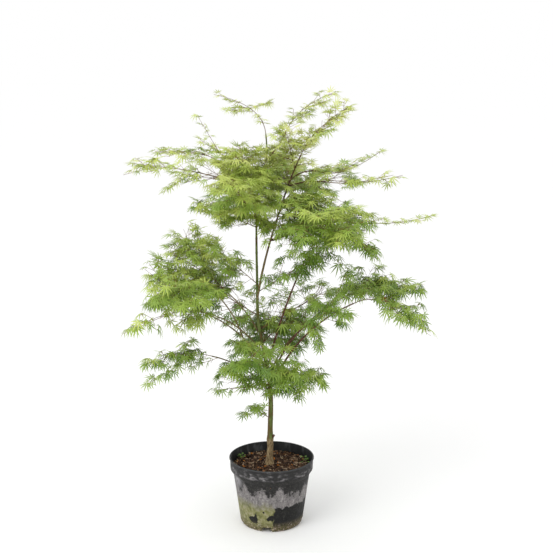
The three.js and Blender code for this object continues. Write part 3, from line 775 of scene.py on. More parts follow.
def in_opening(place):
    """Whether a place lies in one of the openings, or in front of a limb that shows."""
    seen = seen_at(place)
    if any(math.hypot(seen[0] - x, seen[2] - height) < radius for x, height, radius in OPENINGS):
        return True
    for line, seen_line, room, spacing in shown:
        beside = np.hypot(*(seen_line - seen)[:, [0, 2]].T)
        nearest = beside.argmin()
        crossed = line[nearest][2] % spacing < CROSSING
        if beside[nearest] < room and place[1] < line[nearest][1] and not crossed:
            return True
    return False


print(f"{len(OPENINGS)} openings")

# %% Grow the plant
twigs, leaf_rows, leaf_places = [], [], []
for name in HABITS:
    mass_twigs, mass_leaves = grow_mass(name)
    frames = zip(*leaf_frames(mass_leaves))
    for index, (row, (root, hub, axes)) in enumerate(zip(mass_leaves, frames)):
        if not in_opening(hub + axes[0] * LEAF_MIDDLE):
            leaf_rows.append(row)
            leaf_places.append((name, index, root, hub, axes))
    twigs += mass_twigs
print(f"{len(twigs)} twigs carry {len(leaf_rows)} leaves")

# %% [markdown]
# ## Leaf colours
# A maple leaf's colour changes with its age. Leaves that opened last, at the top, are a pale yellow-green, and
# their paleness is partly painted light that stands in for sun shining through them. Those low and inside the
# plant are deeper, partly as painted shade. Each spray gets one tone, its leaves vary a little around it, and
# each tone is a plain colour on a surface that is neither glossy nor dull.

# %% Leaf tones
# The pale tones are partly painted light through the leaves, and the deep ones partly painted shade.
LEAF_TONES = ("#5a7a24", "#6a8a2d", "#7e9a38", "#92ab44", "#a8ba52", "#bac762", "#c8d176", "#ced380")
WITHERED = "#b06a34"

leaf_materials = [
    new_material(f"maple_leaf_tone_{index}", tone, 0.45, Specular_IOR_Level=0.45)[0]
    for index, tone in enumerate(LEAF_TONES)
]
leaf_materials.append(new_material("maple_leaf_withered", WITHERED, 0.8, Specular_IOR_Level=0.2)[0])
tones = np.clip(np.round([row[4] for row in leaf_rows]), 0, len(LEAF_TONES) - 1).astype(int)

# %% Join the leaves
LEAF_PIECES = (  # piece, slot, and the heights between which a mass's far end lies
    ("leaves_low", "leaves_low", 0, 0.78),
    ("leaves_middle", "leaves_middle", 0.78, 0.99),
    ("leaves_high", "leaves_middle", 0.99, 1.19),
    ("leaves_top", "leaves_top", 1.19, 9),
)
WITHERED_AT = (0.345, -0.07, 0.745)  # the one dry leaf hangs here

hubs = np.array([hub for _, _, _, hub, _ in leaf_places])
dry = int(np.linalg.norm(hubs - WITHERED_AT, axis=1).argmin())
tones[dry] = len(LEAF_TONES)
for piece_name, slot, low, high in LEAF_PIECES:
    members = [name for name in HABITS if low <= masses[name][1]["end"][2] < high]
    corners, faces, face_tones = [], [], []
    for row, tone, (name, index, _, hub, axes) in zip(leaf_rows, tones, leaf_places):
        if name not in members:
            continue
        shape, shape_faces = blade_of(index, row[2])
        add_part(corners, faces, hub + shape @ axes, shape_faces)
        face_tones += [tone] * len(shape_faces)
    leaves = mesh_piece(piece_name, corners, faces, face_tones, leaf_materials)
    finish_piece(leaves, piece_name, [], [f"foliage_{name}" for name in members])

# %% [markdown]
# ## Twigs and leaf stalks
# Twigs are square or three-sided tubes, fine enough that nobody sees their corners, and each leaf hangs on
# a stalk a third as long as the leaf. Young maple shoots are red-brown on their lit side.

# %% Tubes
STALK_RADIUS = 0.0005
THICK_TWIG = 0.0011  # a twig whose foot has a larger radius has five sides, and the others have three


def tube(line, start_radius, end_radius, sides):
    """Corners and faces of a tapering tube along a line, with closed ends."""
    corners, faces = [], []
    for index, place in enumerate(line):
        way = unit(line[min(index + 1, len(line) - 1)] - line[max(index - 1, 0)])
        level = unit(np.cross(way, UP) if abs(way[2]) < 0.95 else np.cross(way, (1.0, 0.0, 0.0)))
        radius = start_radius + (end_radius - start_radius) * index / (len(line) - 1)
        corners += [place + turned(level, way, 360 * side / sides) * radius for side in range(sides)]
    for ring in range(len(line) - 1):
        first = ring * sides
        for side in range(sides):
            after = (side + 1) % sides
            faces.append((first + side, first + after, first + sides + after, first + sides + side))
    last = sides * (len(line) - 1)
    faces += [tuple(range(sides - 1, -1, -1)), tuple(range(last, last + sides))]
    return corners, faces


def joined_tubes(name, tubes):
    """Many tubes as one object."""
    corners, faces = [], []
    for line, start_radius, end_radius, sides in tubes:
        add_part(corners, faces, *tube(line, start_radius, end_radius, sides))
    return mesh_piece(name, corners, faces)


# %% Join the twigs and the stalks
def mottled_material(name, stops, scale, roughness):
    """A material whose colour wanders through a ramp, for what is too thin to show more."""
    material, tree, shader = new_material(name, stops[1][1], roughness, Specular_IOR_Level=0.3)
    coords = add_node(tree, "ShaderNodeTexCoord")
    mottle = add_node(
        tree, "ShaderNodeTexNoise", {"Vector": coords.outputs["Object"], "Scale": scale, "Detail": 3}
    )
    colour = add_node(tree, "ShaderNodeValToRGB", {"Fac": mottle.outputs["Fac"]}, stops=stops)
    tree.links.new(colour.outputs["Color"], shader.inputs["Base Color"])
    return material


SHOOT_COLOURS = ((0.38, "#5b3a2a"), (0.50, "#71533a"), (0.62, "#8c7448"))
STALK_COLOURS = ((0.38, "#8a4c38"), (0.50, "#8a6a3e"), (0.62, "#8f8a4c"))
shoot_bark = mottled_material("young_shoot_bark", SHOOT_COLOURS, 60, 0.6)
stalk_skin = mottled_material("red_leaf_stalk_skin", STALK_COLOURS, 90, 0.55)
twig_tubes = []
for line, (thick, thin) in twigs:
    bends = np.unique(np.round(np.linspace(0, len(line) - 1, max(2, len(line) // 2 + 1))).astype(int))
    twig_tubes.append((line[bends], thick, thin, 5 if thick > THICK_TWIG else 3))
finish_piece(joined_tubes("twigs", twig_tubes), "twigs", [shoot_bark])
stalk_tubes = []
for _, _, root, hub, _ in leaf_places:
    stalk_tubes.append((np.array([root, hub]), STALK_RADIUS, STALK_RADIUS * 0.8, 3))
finish_piece(joined_tubes("leaf_stalks", stalk_tubes), "leaf_stalks", [stalk_skin])

# %% [markdown]
# ## Trunk
# The trunk is one tube along its measured middle line. Below the graft it is the rootstock, with old, cracked
# bark; above it the young wood is smooth and green, with a low ring at every node where leaves once stood.
# The foot flares into the compost, and two short stubs show where side shoots were cut.

# %% The tube of a limb
def limb_tube(name, points, radii, resolution):
    """A limb's tube as a curve with a radius at every point, turned into a mesh."""
    curve = bpy.data.curves.new(name, "CURVE")
    curve.dimensions, curve.use_fill_caps = "3D", True
    curve.bevel_depth, curve.bevel_resolution = 1.0, resolution
    spline = curve.splines.new("POLY")
    spline.points.add(len(points) - 1)
    for point, place, radius in zip(spline.points, points, radii):
        point.co, point.radius = (*place, 1), radius
    piece = bpy.data.objects.new(name, curve)
    bpy.context.scene.collection.objects.link(piece)
    select_only(piece)
    bpy.ops.object.convert(target="MESH")
    return bpy.context.object


# %% The trunk's mesh
GRAFT = 0.285
NODE_SPACING = 0.046
RING_SPACING = 0.0035
# azimuth, height, radius, length, rise on a metre of reach
STUBS = ((-25, 0.279, 0.0038, 0.0085, 1.5), (196, 0.285, 0.0026, 0.0035, 0.4))
TRUNK_FOOT = 0.196
FOOT_FLARE, FLARE_HEIGHT = 0.35, 0.007  # the share that it adds to the radius, and how fast it fades upwards
GRAFT_SWELL, GRAFT_LENGTH = 0.22, 0.012
NODE_RISE, NODE_LENGTH = 0.0006, 0.0022
CRACKS, CRACK_LEVEL, CRACK_DEPTH = (260, 260, 60), 0.25, 0.0016  # cracks are finer around than along
SWELLS, SWELL_DEPTH = 45, 0.00025
OLD_BARK_FADE = 0.02  # the cracks run out over this height at the graft

points, radii = resample(*lines["trunk"], RING_SPACING)
foot = np.array([points[0][0], points[0][1], TRUNK_FOOT])
points, radii = np.vstack([foot, points]), np.append(radii[0], radii)
heights = points[:, 2]
radii = radii * (1 + FOOT_FLARE * np.exp(-(heights - TRUNK_FOOT) / FLARE_HEIGHT))
radii = radii * (1 + GRAFT_SWELL * np.exp(-(((heights - GRAFT) / GRAFT_LENGTH) ** 2)))
node_rings = NODE_RISE * np.exp(-((((heights - GRAFT) % NODE_SPACING) - NODE_SPACING / 2) / NODE_LENGTH) ** 2)
radii = radii + np.where(heights > GRAFT + 0.02, node_rings, 0)
trunk = limb_tube("trunk", points, radii, 12)


def trunk_middle(height):
    """The place of the trunk's middle at a height."""
    return np.array([np.interp(height, heights, points[:, axis]) for axis in range(3)])


for corner in trunk.data.vertices:
    out = corner.co - Vector(trunk_middle(corner.co.z))
    out.z = 0
    if out.length < 0.001:
        continue
    old = 1 - min(1, max(0, (corner.co.z - GRAFT + 0.01) / OLD_BARK_FADE))
    crack = -abs(noise.noise(corner.co * Vector(CRACKS))) + CRACK_LEVEL
    swell = noise.noise(corner.co * SWELLS)
    corner.co += out.normalized() * (CRACK_DEPTH * crack * old + SWELL_DEPTH * swell)

# %% The two stubs
STUB_ROOT, STUB_START = 0.004, 0.006  # how far from the trunk's middle they begin to show
stubs = []
for index, (azimuth, height, radius, length, rise) in enumerate(STUBS):
    spoke = np.array([math.cos(math.radians(azimuth)), math.sin(math.radians(azimuth)), rise])
    place = trunk_middle(height)
    gone = (STUB_ROOT, STUB_START + length * 0.6, STUB_START + length)
    steps = np.array([place + spoke * away for away in gone])
    stubs.append(limb_tube(f"stub_{index}", steps, (radius * 1.25, radius, radius * 0.9), 5))
select_only(trunk)
bpy.ops.object.shade_smooth_by_angle(angle=math.radians(50))
print(f"the trunk has {len(trunk.data.polygons)} faces and {len(stubs)} stubs")

# %% [markdown]
# ## Bark
# One bark covers the trunk. Its two states meet at the graft: grey-brown plates with dark cracks below, and
# above it green skin streaked with red-brown. Both patterns are stretched along the trunk as bark is. The
# boughs have a skin of their own, olive on one side of the plant and dark red-brown on the sunny side.

# %% The trunk's bark
maple_bark, tree, shader = new_material("maple_trunk_bark", "#5d6239", 0.8, Specular_IOR_Level=0.25)
coords = add_node(tree, "ShaderNodeTexCoord").outputs["Object"]
place = add_node(tree, "ShaderNodeSeparateXYZ", {"Vector": coords})
drawn_up = add_node(tree, "ShaderNodeMapping", {"Vector": coords, "Scale": (1, 1, 0.22)}).outputs["Vector"]
plates, streaks, blotches = (
    add_node(tree, "ShaderNodeTexNoise", {"Vector": vector, "Scale": scale, "Detail": detail}).outputs["Fac"]
    for vector, scale, detail in ((drawn_up, 320, 5), (drawn_up, 120, 3), (coords, 40, 3))
)
old_bark, green_skin = (
    add_node(tree, "ShaderNodeValToRGB", {"Fac": pattern}, stops=stops).outputs["Color"]
    for pattern, *stops in (
        (plates, (0.34, "#54432f"), (0.45, "#786548"), (0.56, "#94805f"), (0.68, "#a89574")),
        (streaks, (0.36, "#6a4b35"), (0.45, "#565c2c"), (0.58, "#66733c"), (0.70, "#7d8850")),
    )
)
red_edge, graft_edge = (
    add_node(
        tree, "ShaderNodeMath", {0: pattern, 1: most, 2: place.outputs[way]}, operation="MULTIPLY_ADD"
    ).outputs[0]
    for pattern, most, way in ((streaks, 0.012, "X"), (blotches, 0.03, "Z"))
)
red_side, red_height, above_graft = (
    add_node(
        tree, "ShaderNodeMapRange", {"Value": value, "From Min": start, "From Max": end, "To Max": most}
    ).outputs["Result"]
    for value, start, end, most in (
        (red_edge, 0.0015, -0.0015, 0.5),
        (place.outputs["Z"], 0.44, 0.38, 1),
        (graft_edge, GRAFT + 0.008, GRAFT + 0.022, 1),
    )
)
red = add_node(tree, "ShaderNodeMath", {0: red_side, 1: red_height}, operation="MULTIPLY").outputs[0]
young_skin = add_node(
    tree, "ShaderNodeMix", {0: red, 6: green_skin, 7: linear("#6e4836")}, data_type="RGBA"
).outputs[2]
bark = add_node(
    tree, "ShaderNodeMix", {0: above_graft, 6: old_bark, 7: young_skin}, data_type="RGBA"
).outputs[2]
grain = add_node(tree, "ShaderNodeBump", {"Height": plates, "Strength": 0.5, "Distance": 0.0006})
tree.links.new(bark, shader.inputs["Base Color"])
tree.links.new(grain.outputs["Normal"], shader.inputs["Normal"])
finish_piece(trunk, "trunk", [maple_bark], ["trunk"])

# %% The boughs' bark
bough_bark, tree, shader = new_material("maple_bough_bark", "#5a4532", 0.7, Specular_IOR_Level=0.3)
coords = add_node(tree, "ShaderNodeTexCoord").outputs["Object"]
place = add_node(tree, "ShaderNodeSeparateXYZ", {"Vector": coords})
mottle = add_node(tree, "ShaderNodeTexNoise", {"Vector": coords, "Scale": 140, "Detail": 4}).outputs["Fac"]
red_skin, olive_skin = (
    add_node(tree, "ShaderNodeValToRGB", {"Fac": mottle}, stops=stops).outputs["Color"]
    for stops in (
        ((0.35, "#3b2820"), (0.52, "#5b3a2b"), (0.68, "#7a5643")),
        ((0.35, "#5a4a30"), (0.52, "#7a6b45"), (0.68, "#958862")),
    )
)
sunny = add_node(
    tree, "ShaderNodeMapRange", {"Value": place.outputs["X"], "From Min": -0.03, "From Max": 0.005}
).outputs["Result"]
skin = add_node(tree, "ShaderNodeMix", {0: sunny, 6: olive_skin, 7: red_skin}, data_type="RGBA")
tree.links.new(skin.outputs[2], shader.inputs["Base Color"])
print(f"the trunk's bark has {len(maple_bark.node_tree.nodes)} nodes, and the boughs' {len(tree.nodes)}")

# %% Second stem and boughs
COLLAR_SWELL, COLLAR_LENGTH = 0.45, 0.010  # a bough is thicker where it leaves its parent
BOUGH_NODE_SPACING, BOUGH_NODE_RISE, BOUGH_NODE_LENGTH = 0.04, 0.0003, 0.002
UNEVEN = 0.0003

boughs = []
for name in LIMBS[1:]:
    points, radii = resample(*lines[name], 0.004)
    gone = np.append(0, np.cumsum(np.linalg.norm(np.diff(points, axis=0), axis=1)))
    from_node = (gone % BOUGH_NODE_SPACING) - BOUGH_NODE_SPACING / 2
    node_rings = BOUGH_NODE_RISE * np.exp(-(from_node / BOUGH_NODE_LENGTH) ** 2)
    radii = radii * (1 + COLLAR_SWELL * np.exp(-gone / COLLAR_LENGTH)) + node_rings
    limb = limb_tube(name, points, radii, 5)
    for corner in limb.data.vertices:
        corner.co += Vector((1, 1, 1)) * UNEVEN * noise.noise(corner.co * 70)
    boughs.append(limb)
second_stem, boughs = boughs[0], boughs[1:] + stubs
select_only(second_stem)
bpy.ops.object.shade_smooth_by_angle(angle=math.radians(60))
finish_piece(second_stem, "second_stem", [bough_bark], ["second_stem"])
select_only(*boughs)
bpy.ops.object.join()
boughs = bpy.context.object
bpy.ops.object.shade_smooth_by_angle(angle=math.radians(60))
finish_piece(boughs, "boughs", [bough_bark], LIMBS[2:])

# %% [markdown]
# ## The nursery pot
# The pot is thin injection-moulded polypropylene: a slanted wall, a step, a wider collar with a small lip,
# and four drain notches in its foot. It is spun up ring by ring from its foot, outside, over the lip and down
# inside. A small bevel rounds its edges, and the notches are cut last.

# %% A round solid
def spun_solid(name, profile, sides):
    """A round solid: a disc drawn up ring by ring through the radii and heights of its profile."""
    bpy.ops.object.select_all(action="DESELECT")
    bpy.ops.mesh.primitive_circle_add(
        vertices=sides, radius=profile[0][0], fill_type="NGON", location=(0, 0, profile[0][1])
    )
    piece = bpy.context.object
    piece.name = name
    bpy.ops.object.mode_set(mode="EDIT")
    bpy.ops.mesh.select_all(action="SELECT")
    for (before, low), (after, high) in zip(profile, profile[1:]):
        bpy.ops.mesh.extrude_region_move(TRANSFORM_OT_translate={"value": (0, 0, high - low)})
        bpy.ops.transform.resize(value=(after / before, after / before, 1), center_override=(0, 0, high))
    bpy.ops.mesh.select_all(action="SELECT")
    bpy.ops.mesh.normals_make_consistent(inside=False)
    bpy.ops.object.mode_set(mode="OBJECT")
    return piece


# %% The pot's mesh
POT_SIDES = 144
POT_PROFILE = (  # radius, height
    (0.0950, 0.0), (0.0980, 0.0), (0.1035, 0.009), (0.1260, 0.171), (0.1365, 0.187), (0.1375, 0.220),
    (0.1400, 0.2215), (0.1400, 0.224), (0.1390, 0.225), (0.1353, 0.225), (0.1343, 0.187), (0.1238, 0.171),
    (0.1032, 0.024), (0.0965, 0.0205),
)
NOTCH_AZIMUTHS = (261, 351, 81, 171)
NOTCH_REACH = 0.098  # from the pot's axis to a notch's middle
NOTCH_SIZE = (0.130, 0.035, 0.033)  # through the wall, around it, and its height, half of it under the foot
NOTCH_SPLAY = 0.47  # a notch is wider at its foot by this share of its width for its whole height

pot = spun_solid("pot", POT_PROFILE, POT_SIDES)
apply_modifier(pot, "BEVEL", width=0.0007, segments=2, limit_method="ANGLE", angle_limit=math.radians(22))
for azimuth in NOTCH_AZIMUTHS:
    turn = math.radians(azimuth)
    bpy.ops.object.select_all(action="DESELECT")
    bpy.ops.mesh.primitive_cube_add(
        size=1, location=(NOTCH_REACH * math.cos(turn), NOTCH_REACH * math.sin(turn), 0)
    )
    cutter = bpy.context.object
    for corner in cutter.data.vertices:
        corner.co.y *= 1 - NOTCH_SPLAY * corner.co.z
    cutter.scale, cutter.rotation_euler.z = NOTCH_SIZE, turn
    bpy.context.view_layer.update()
    apply_modifier(pot, "BOOLEAN", operation="DIFFERENCE", object=cutter, solver="EXACT")
    bpy.data.objects.remove(cutter)
select_only(pot)
bpy.ops.object.shade_smooth_by_angle(angle=math.radians(30))
print(f"the pot has {len(pot.data.polygons)} faces and {len(NOTCH_AZIMUTHS)} notches")

# %% [markdown]
# ## Weathered polypropylene
# The pot was matte black once. Hard water has run over it: below the step a dark band stays clean, under it
# whitish lime hangs in scallops and streaks, olive algae grow near the foot on the damp side, and the rim is
# scuffed grey with chalky spots. A thin pale grey line along the top of the lip is a painted highlight.
# Every border is a height around the wall, made uneven with noise.

# %% Patterns on the pot
pot_plastic, tree, shader = new_material(
    "matte_black_polypropylene", "#2b2b2a", 0.62, Specular_IOR_Level=0.18
)
coords = add_node(tree, "ShaderNodeTexCoord").outputs["Object"]
place = add_node(tree, "ShaderNodeSeparateXYZ", {"Vector": coords})
drawn_down, smeared = (
    add_node(tree, "ShaderNodeMapping", {"Vector": coords, "Scale": (1, 1, stretch)}).outputs["Vector"]
    for stretch in (0.14, 1.8)
)
fine, mottle, coarse, bristle, smears = (
    add_node(tree, "ShaderNodeTexNoise", {"Vector": vector, "Scale": scale, "Detail": detail}).outputs["Fac"]
    for vector, scale, detail in (
        (coords, 190, 6), (coords, 75, 6), (coords, 26, 5), (drawn_down, 150, 4), (smeared, 62, 5),
    )
)
print(f"{len(tree.nodes)} nodes for the patterns")

# %% The dark band, which hangs in lobes with fuzzy peaks of lime between them
BAND_FOOT = 0.130  # the height of the band's lower edge, where no lime cuts into it
BAND_PEAKS = (  # azimuth, rise
    (226, 0.028), (254, 0.027), (283, 0.034), (332, 0.020), (350, 0.026), (18, 0.022),
    (47, 0.030), (80, 0.024), (109, 0.032), (140, 0.024), (172, 0.030), (201, 0.026),
)
PEAK_REACH, PEAK_SPREAD = 0.121, 0.025  # from the pot's axis, and around a peak's middle
FRAY = (0.045, 0.065, 0.065)  # how far the streaks, the grain and the mottling move the band's edge

level = add_node(
    tree, "ShaderNodeVectorMath", {0: coords, 1: (1, 1, 0)}, operation="MULTIPLY"
).outputs["Vector"]
band_edge = place.outputs["Z"]
for azimuth, rise in BAND_PEAKS:
    turn = math.radians(azimuth)
    peak = (PEAK_REACH * math.cos(turn), PEAK_REACH * math.sin(turn), 0)
    away = add_node(tree, "ShaderNodeVectorMath", {0: level, 1: peak}, operation="DISTANCE")
    lower = add_node(
        tree, "ShaderNodeMapRange",
        {"Value": away.outputs["Value"], "From Max": PEAK_SPREAD, "To Min": -rise, "To Max": 0},
        interpolation_type="SMOOTHSTEP",
    )
    band_edge = add_node(
        tree, "ShaderNodeMath", {0: band_edge, 1: lower.outputs["Result"]}, operation="ADD"
    ).outputs[0]
for pattern, fray in zip((bristle, fine, mottle), FRAY):
    band_edge = add_node(
        tree, "ShaderNodeMath", {0: pattern, 1: fray, 2: band_edge}, operation="MULTIPLY_ADD"
    ).outputs[0]
print(f"the band hangs between {len(BAND_PEAKS)} peaks of lime")

# %% Round places: bare flakes in the algae, and a chalky patch on the band
# azimuth, height, radius
BARE_FLAKES = ((238, 0.042, 0.015), (268, 0.052, 0.011), (257, 0.072, 0.004), (266, 0.012, 0.007))
CHALK_PATCH = (207, 0.165, 0.024)
WALL_FOOT, WALL_SLANT = POT_PROFILE[2], 0.1389

patches = []
for azimuth, height, size in BARE_FLAKES + (CHALK_PATCH,):
    turn, radius = math.radians(azimuth), WALL_FOOT[0] + WALL_SLANT * (height - WALL_FOOT[1])
    middle = (radius * math.cos(turn), radius * math.sin(turn), height)
    away = add_node(tree, "ShaderNodeVectorMath", {0: coords, 1: middle}, operation="DISTANCE")
    away = away.outputs["Value"]
    uneven = add_node(tree, "ShaderNodeMath", {0: mottle, 1: size * 2.2, 2: away}, operation="MULTIPLY_ADD")
    soft = 0.06 if size < CHALK_PATCH[2] else 0.5
    inside = add_node(
        tree, "ShaderNodeMapRange",
        {"Value": uneven.outputs[0], "From Min": size * (2.1 + soft), "From Max": size * (2.1 - soft)},
    )
    patches.append(inside.outputs["Result"])
*flakes, chalk = patches
flaked = flakes[0]
for flake in flakes[1:]:
    flaked = add_node(tree, "ShaderNodeMath", {0: flaked, 1: flake}, operation="MAXIMUM").outputs[0]
print(f"{len(patches)} round places")

# %% Where each part begins and ends
# The lime fades into algae on the damp left, and ends in a ragged edge over clean plastic on the right.
LIME_FOOT, COLLAR_FOOT = 0.088, 0.1875
BAND_LEVEL = BAND_FOOT + sum(FRAY) / 2  # the patterns' mean is a half, so they lift the edge by this much

damp, foot_edge, lime_edge = (
    add_node(
        tree, "ShaderNodeMath", {0: pattern, 1: most, 2: place.outputs[way]}, operation="MULTIPLY_ADD"
    ).outputs[0]
    for pattern, most, way in ((coarse, 0.05, "X"), (fine, 0.03, "Z"), (coarse, 0.045, "Z"))
)
lime_edge = add_node(
    tree, "ShaderNodeMath", {0: mottle, 1: 0.03, 2: lime_edge}, operation="MULTIPLY_ADD"
).outputs[0]
# A thin band along the top of the lip takes a pale grey painted highlight.
algae_there, over_clean, over_algae, in_band, on_collar, low_collar, lip_highlight_share, at_foot = (
    add_node(
        tree, "ShaderNodeMapRange", {"Value": value, "From Min": start, "From Max": end, "To Max": most}
    ).outputs["Result"]
    for value, start, end, most in (
        (damp, 0.036, 0.030, 1),
        (lime_edge, LIME_FOOT + 0.0365, LIME_FOOT + 0.0395, 1),
        (lime_edge, LIME_FOOT + 0.022, LIME_FOOT + 0.058, 1),
        (band_edge, BAND_LEVEL - 0.006, BAND_LEVEL + 0.006, 0.95),
        (place.outputs["Z"], COLLAR_FOOT, COLLAR_FOOT + 0.006, 1),
        (place.outputs["Z"], 0.217, 0.194, 0.15),
        (place.outputs["Z"], 0.2195, 0.2225, 0.45),
        (foot_edge, 0.052, 0.028, 0.8),
    )
)

# %% Specks of mud
SPECK_SIZE, SPECKS_LEFT_OUT = 0.055, 0.72  # of the width of a cell of the pattern, and of all cells

specks = add_node(tree, "ShaderNodeTexVoronoi", {"Vector": coords, "Scale": 48})
speck_there = add_node(
    tree, "ShaderNodeMath", {0: specks.outputs["Distance"], 1: SPECK_SIZE}, operation="LESS_THAN"
)
speck_chance = add_node(tree, "ShaderNodeSeparateXYZ", {"Vector": specks.outputs["Color"]})
speck_kept = add_node(
    tree, "ShaderNodeMath", {0: speck_chance.outputs["X"], 1: SPECKS_LEFT_OUT}, operation="GREATER_THAN"
)
speck = add_node(
    tree, "ShaderNodeMath", {0: speck_there.outputs[0], 1: speck_kept.outputs[0]}, operation="MULTIPLY"
).outputs[0]

# %% What each part is coloured with
grains = add_node(tree, "ShaderNodeMix", {0: 0.55, 2: bristle, 3: fine}).outputs[0]
smears = add_node(tree, "ShaderNodeMath", {0: smears, 1: low_collar}, operation="ADD").outputs[0]
lime, algae, clean, scuffed, chalky, crust = (
    add_node(tree, "ShaderNodeValToRGB", {"Fac": pattern}, stops=stops).outputs["Color"]
    for pattern, *stops in (
        (grains, (0.36, "#5a5857"), (0.46, "#716d6d"), (0.56, "#868281"), (0.68, "#a5a09e")),
        (
            mottle, (0.30, "#55553a"), (0.42, "#6f7044"), (0.54, "#85835a"), (0.66, "#97937a"),
            (0.78, "#a9a594"),
        ),
        (fine, (0.38, "#161615"), (0.55, "#1e1e1d"), (0.72, "#353330")),
        (smears, (0.50, "#292828"), (0.61, "#393838"), (0.69, "#575556"), (0.80, "#7f7c7d")),
        (mottle, (0.35, "#5d5c5c"), (0.6, "#9b999b")),
        (fine, (0.40, "#3f3a28"), (0.50, "#64603c"), (0.57, "#75624c"), (0.64, "#b5a89c")),
    )
)
# The lip's pale grey is a painted highlight along its top.
lip_painted_highlight, mud = linear("#505153"), linear("#7b5a40")
print(f"{len(tree.nodes)} nodes with the colours")

# %% The layers of the wall, the undermost first
dry_wall = add_node(tree, "ShaderNodeMix", {0: over_clean, 6: clean, 7: lime}, data_type="RGBA").outputs[2]
damp_wall = algae
for share, over in ((flaked, clean), (over_algae, lime)):
    mixed = add_node(tree, "ShaderNodeMix", {0: share, 6: damp_wall, 7: over}, data_type="RGBA")
    damp_wall = mixed.outputs[2]
wall = dry_wall
for share, over in (
    (algae_there, damp_wall), (in_band, clean), (chalk, chalky), (on_collar, scuffed),
    (lip_highlight_share, lip_painted_highlight), (at_foot, crust), (speck, mud),
):
    wall = add_node(tree, "ShaderNodeMix", {0: share, 6: wall, 7: over}, data_type="RGBA").outputs[2]
tree.links.new(wall, shader.inputs["Base Color"])
matte = add_node(
    tree, "ShaderNodeMapRange", {"Value": mottle, "From Min": 0.3, "To Min": 0.5, "To Max": 0.85}
)
tree.links.new(matte.outputs["Result"], shader.inputs["Roughness"])
grit = add_node(tree, "ShaderNodeBump", {"Height": mottle, "Strength": 0.25, "Distance": 0.0004})
tree.links.new(grit.outputs["Normal"], shader.inputs["Normal"])
print(f"the weathered plastic has {len(tree.nodes)} nodes")

# %% Inside, black plastic under a film of dust that hangs in smears
inner_plastic, tree, shader = new_material(
    "dusty_black_polypropylene", "#1f1f1e", 0.6, Specular_IOR_Level=0.35
)
coords = add_node(tree, "ShaderNodeTexCoord").outputs["Object"]
drawn_down = add_node(tree, "ShaderNodeMapping", {"Vector": coords, "Scale": (1, 1, 0.4)}).outputs["Vector"]
dust = add_node(tree, "ShaderNodeTexNoise", {"Vector": drawn_down, "Scale": 55, "Detail": 6}).outputs["Fac"]
dusty = add_node(
    tree, "ShaderNodeValToRGB", {"Fac": dust},
    stops=((0.42, "#171818"), (0.56, "#252728"), (0.70, "#4a4b4d")),
)
tree.links.new(dusty.outputs["Color"], shader.inputs["Base Color"])

for material in (pot_plastic, inner_plastic):
    pot.data.materials.append(material)
for face in pot.data.polygons:
    towards_axis = face.normal.x * face.center.x + face.normal.y * face.center.y < -0.01
    face.material_index = int(towards_axis and face.center.z > 0.02)
finish_piece(pot, "pot", [pot_plastic], ["pot"])

# %% [markdown]
# ## Compost
# The compost lies three centimetres below the rim and rises a little to the trunk. Its surface is a layer of
# coarse composted bark chips, each a small crooked block, with a few fresh tan ones among them. Two tufts of
# a small weed grow at the wall.

# %% Compost
COMPOST_PROFILE = (  # radius, height
    (0.0945, 0.0225), (0.1010, 0.025), (0.1225, 0.171), (0.1325, 0.1865), (0.1326, 0.1900),
    (0.1000, 0.1915), (0.0650, 0.1935), (0.0300, 0.1960), (0.0020, 0.1965),
)

compost_colour, tree, shader = new_material(
    "composted_bark_mulch", "#2a1f18", 0.95, Specular_IOR_Level=0.15
)
coords = add_node(tree, "ShaderNodeTexCoord").outputs["Object"]
crumbs = add_node(tree, "ShaderNodeTexVoronoi", {"Vector": coords, "Scale": 240}).outputs["Distance"]
crumb_colour = add_node(
    tree, "ShaderNodeValToRGB", {"Fac": crumbs}, stops=((0.1, "#4a3a2c"), (0.6, "#221a14"))
)
tree.links.new(crumb_colour.outputs["Color"], shader.inputs["Base Color"])
compost = spun_solid("compost", COMPOST_PROFILE, 96)
finish_piece(compost, "compost", [compost_colour], ["soil"])

# %% Bark chips
CHIP_COUNT = 1900
CHIP_COLOURS = ("#2a1d16", "#453022", "#5b4434", "#735a45", "#97826c", "#ac6a2a")
CHIP_SHARES = (30, 25, 19, 13, 9, 4)
CHIP_SIZES = ((0.003, 0.011), (0.0016, 0.0042), (0.0007, 0.002))  # half of length, width and thickness
CHIP_REACH, TRUNK_REACH = 0.1315, 0.013  # chips lie between these distances from the pot's axis
CHIP_HEAP = 0.0045  # the highest lie this far above the compost
CHIP_TILT, CHIP_ROLL = 0.3, 22
COMPOST_REACHES = (0.0, 0.03, 0.065, 0.1, 0.1325)
COMPOST_HEIGHTS = (0.1965, 0.1960, 0.1935, 0.1915, 0.1900)
BOX_FACES = ((0, 3, 2, 1), (4, 5, 6, 7), (0, 1, 5, 4), (1, 2, 6, 5), (2, 3, 7, 6), (3, 0, 4, 7))

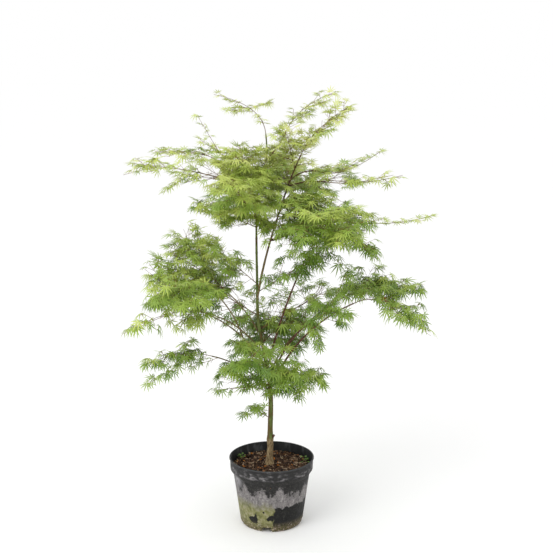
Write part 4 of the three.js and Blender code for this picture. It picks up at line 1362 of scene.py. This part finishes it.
chance = random.Random(31)
chip_materials = [
    new_material(f"bark_chip_{index}", colour, 0.9, Specular_IOR_Level=0.2)[0]
    for index, colour in enumerate(CHIP_COLOURS)
]
corners, faces, chip_tones = [], [], []
for chip in range(CHIP_COUNT):
    away, azimuth = CHIP_REACH * math.sqrt(chance.random()), chance.uniform(0, 2 * math.pi)
    if away < TRUNK_REACH:
        continue
    level = np.interp(away, COMPOST_REACHES, COMPOST_HEIGHTS)
    half = np.array([chance.uniform(*sizes) for sizes in CHIP_SIZES])
    away = min(away, CHIP_REACH - half[0])
    level += chance.uniform(0, CHIP_HEAP)
    middle = np.array([away * math.cos(azimuth), away * math.sin(azimuth), level])
    ahead = unit(np.array([chance.gauss(0, spread) for spread in (1, 1, CHIP_TILT)]))
    across = turned(unit(np.cross(UP, ahead)), ahead, chance.gauss(0, CHIP_ROLL))
    axes = np.array([ahead, across, np.cross(ahead, across)])
    box = []
    for x, y, z in [(x, y, z) for z in (-1, 1) for x, y in ((-1, -1), (1, -1), (1, 1), (-1, 1))]:
        crooked = np.array([x, y, z]) * half * [chance.uniform(0.65, 1.1) for _ in range(3)]
        box.append(middle + crooked @ axes)
    add_part(corners, faces, box, BOX_FACES)
    chip_tones += [chance.choices(range(len(CHIP_COLOURS)), CHIP_SHARES)[0]] * len(BOX_FACES)
chips = mesh_piece("bark_chips", corners, faces, chip_tones, chip_materials)
finish_piece(chips, "bark_chips", [])

# %% Two tufts of weed
WEEDS = ((152, 0.116, 12), (16, 0.112, 14))  # azimuth, distance from the trunk, leaves
WEED_FOOT, WEED_REACH = 0.192, 0.130  # height, and how far from the pot's axis its stalks may end
WEED_RISE, WEED_STALKS = (15, 75), (0.008, 0.019)  # degrees, lengths
LEAFLET_SIZES = (0.0025, 0.0045)  # half its width
LEAFLET = ((-0.4, 0), (0.3, -1), (0.3, 1), (1.2, -0.8), (1.2, 0.8), (1.9, 0))  # along and across, in halves
LEAFLET_FACES = ((0, 1, 2), (1, 3, 4, 2), (3, 5, 4))
WEED_COLOURS = ((0.4, "#4c6a28"), (0.5, "#66863a"), (0.6, "#83a04c"))

weed_leaf = mottled_material("bittercress_leaf", WEED_COLOURS, 70, 0.5)
corners, faces = [], []
for azimuth, away, count in WEEDS:
    turn = math.radians(azimuth)
    foot = np.array([away * math.cos(turn), away * math.sin(turn), WEED_FOOT])
    for leaf in range(count):
        yaw, rise = chance.uniform(0, 2 * math.pi), math.radians(chance.uniform(*WEED_RISE))
        way = np.array([math.cos(yaw) * math.cos(rise), math.sin(yaw) * math.cos(rise), math.sin(rise)])
        tip = foot + way * chance.uniform(*WEED_STALKS)
        while math.hypot(tip[0], tip[1]) > WEED_REACH:
            tip[:2] *= 0.97
        add_part(corners, faces, *tube(np.array([foot, tip]), 0.0005, 0.0004, 3))
        side, level = unit(np.cross(UP, way)), unit(way * (1, 1, 0.2))
        half = chance.uniform(*LEAFLET_SIZES)
        blade = [tip + (level * out + side * wide + UP * 0.25 * abs(wide)) * half for out, wide in LEAFLET]
        add_part(corners, faces, blade, LEAFLET_FACES)
weeds = mesh_piece("weeds", corners, faces)
finish_piece(weeds, "weeds", [weed_leaf])
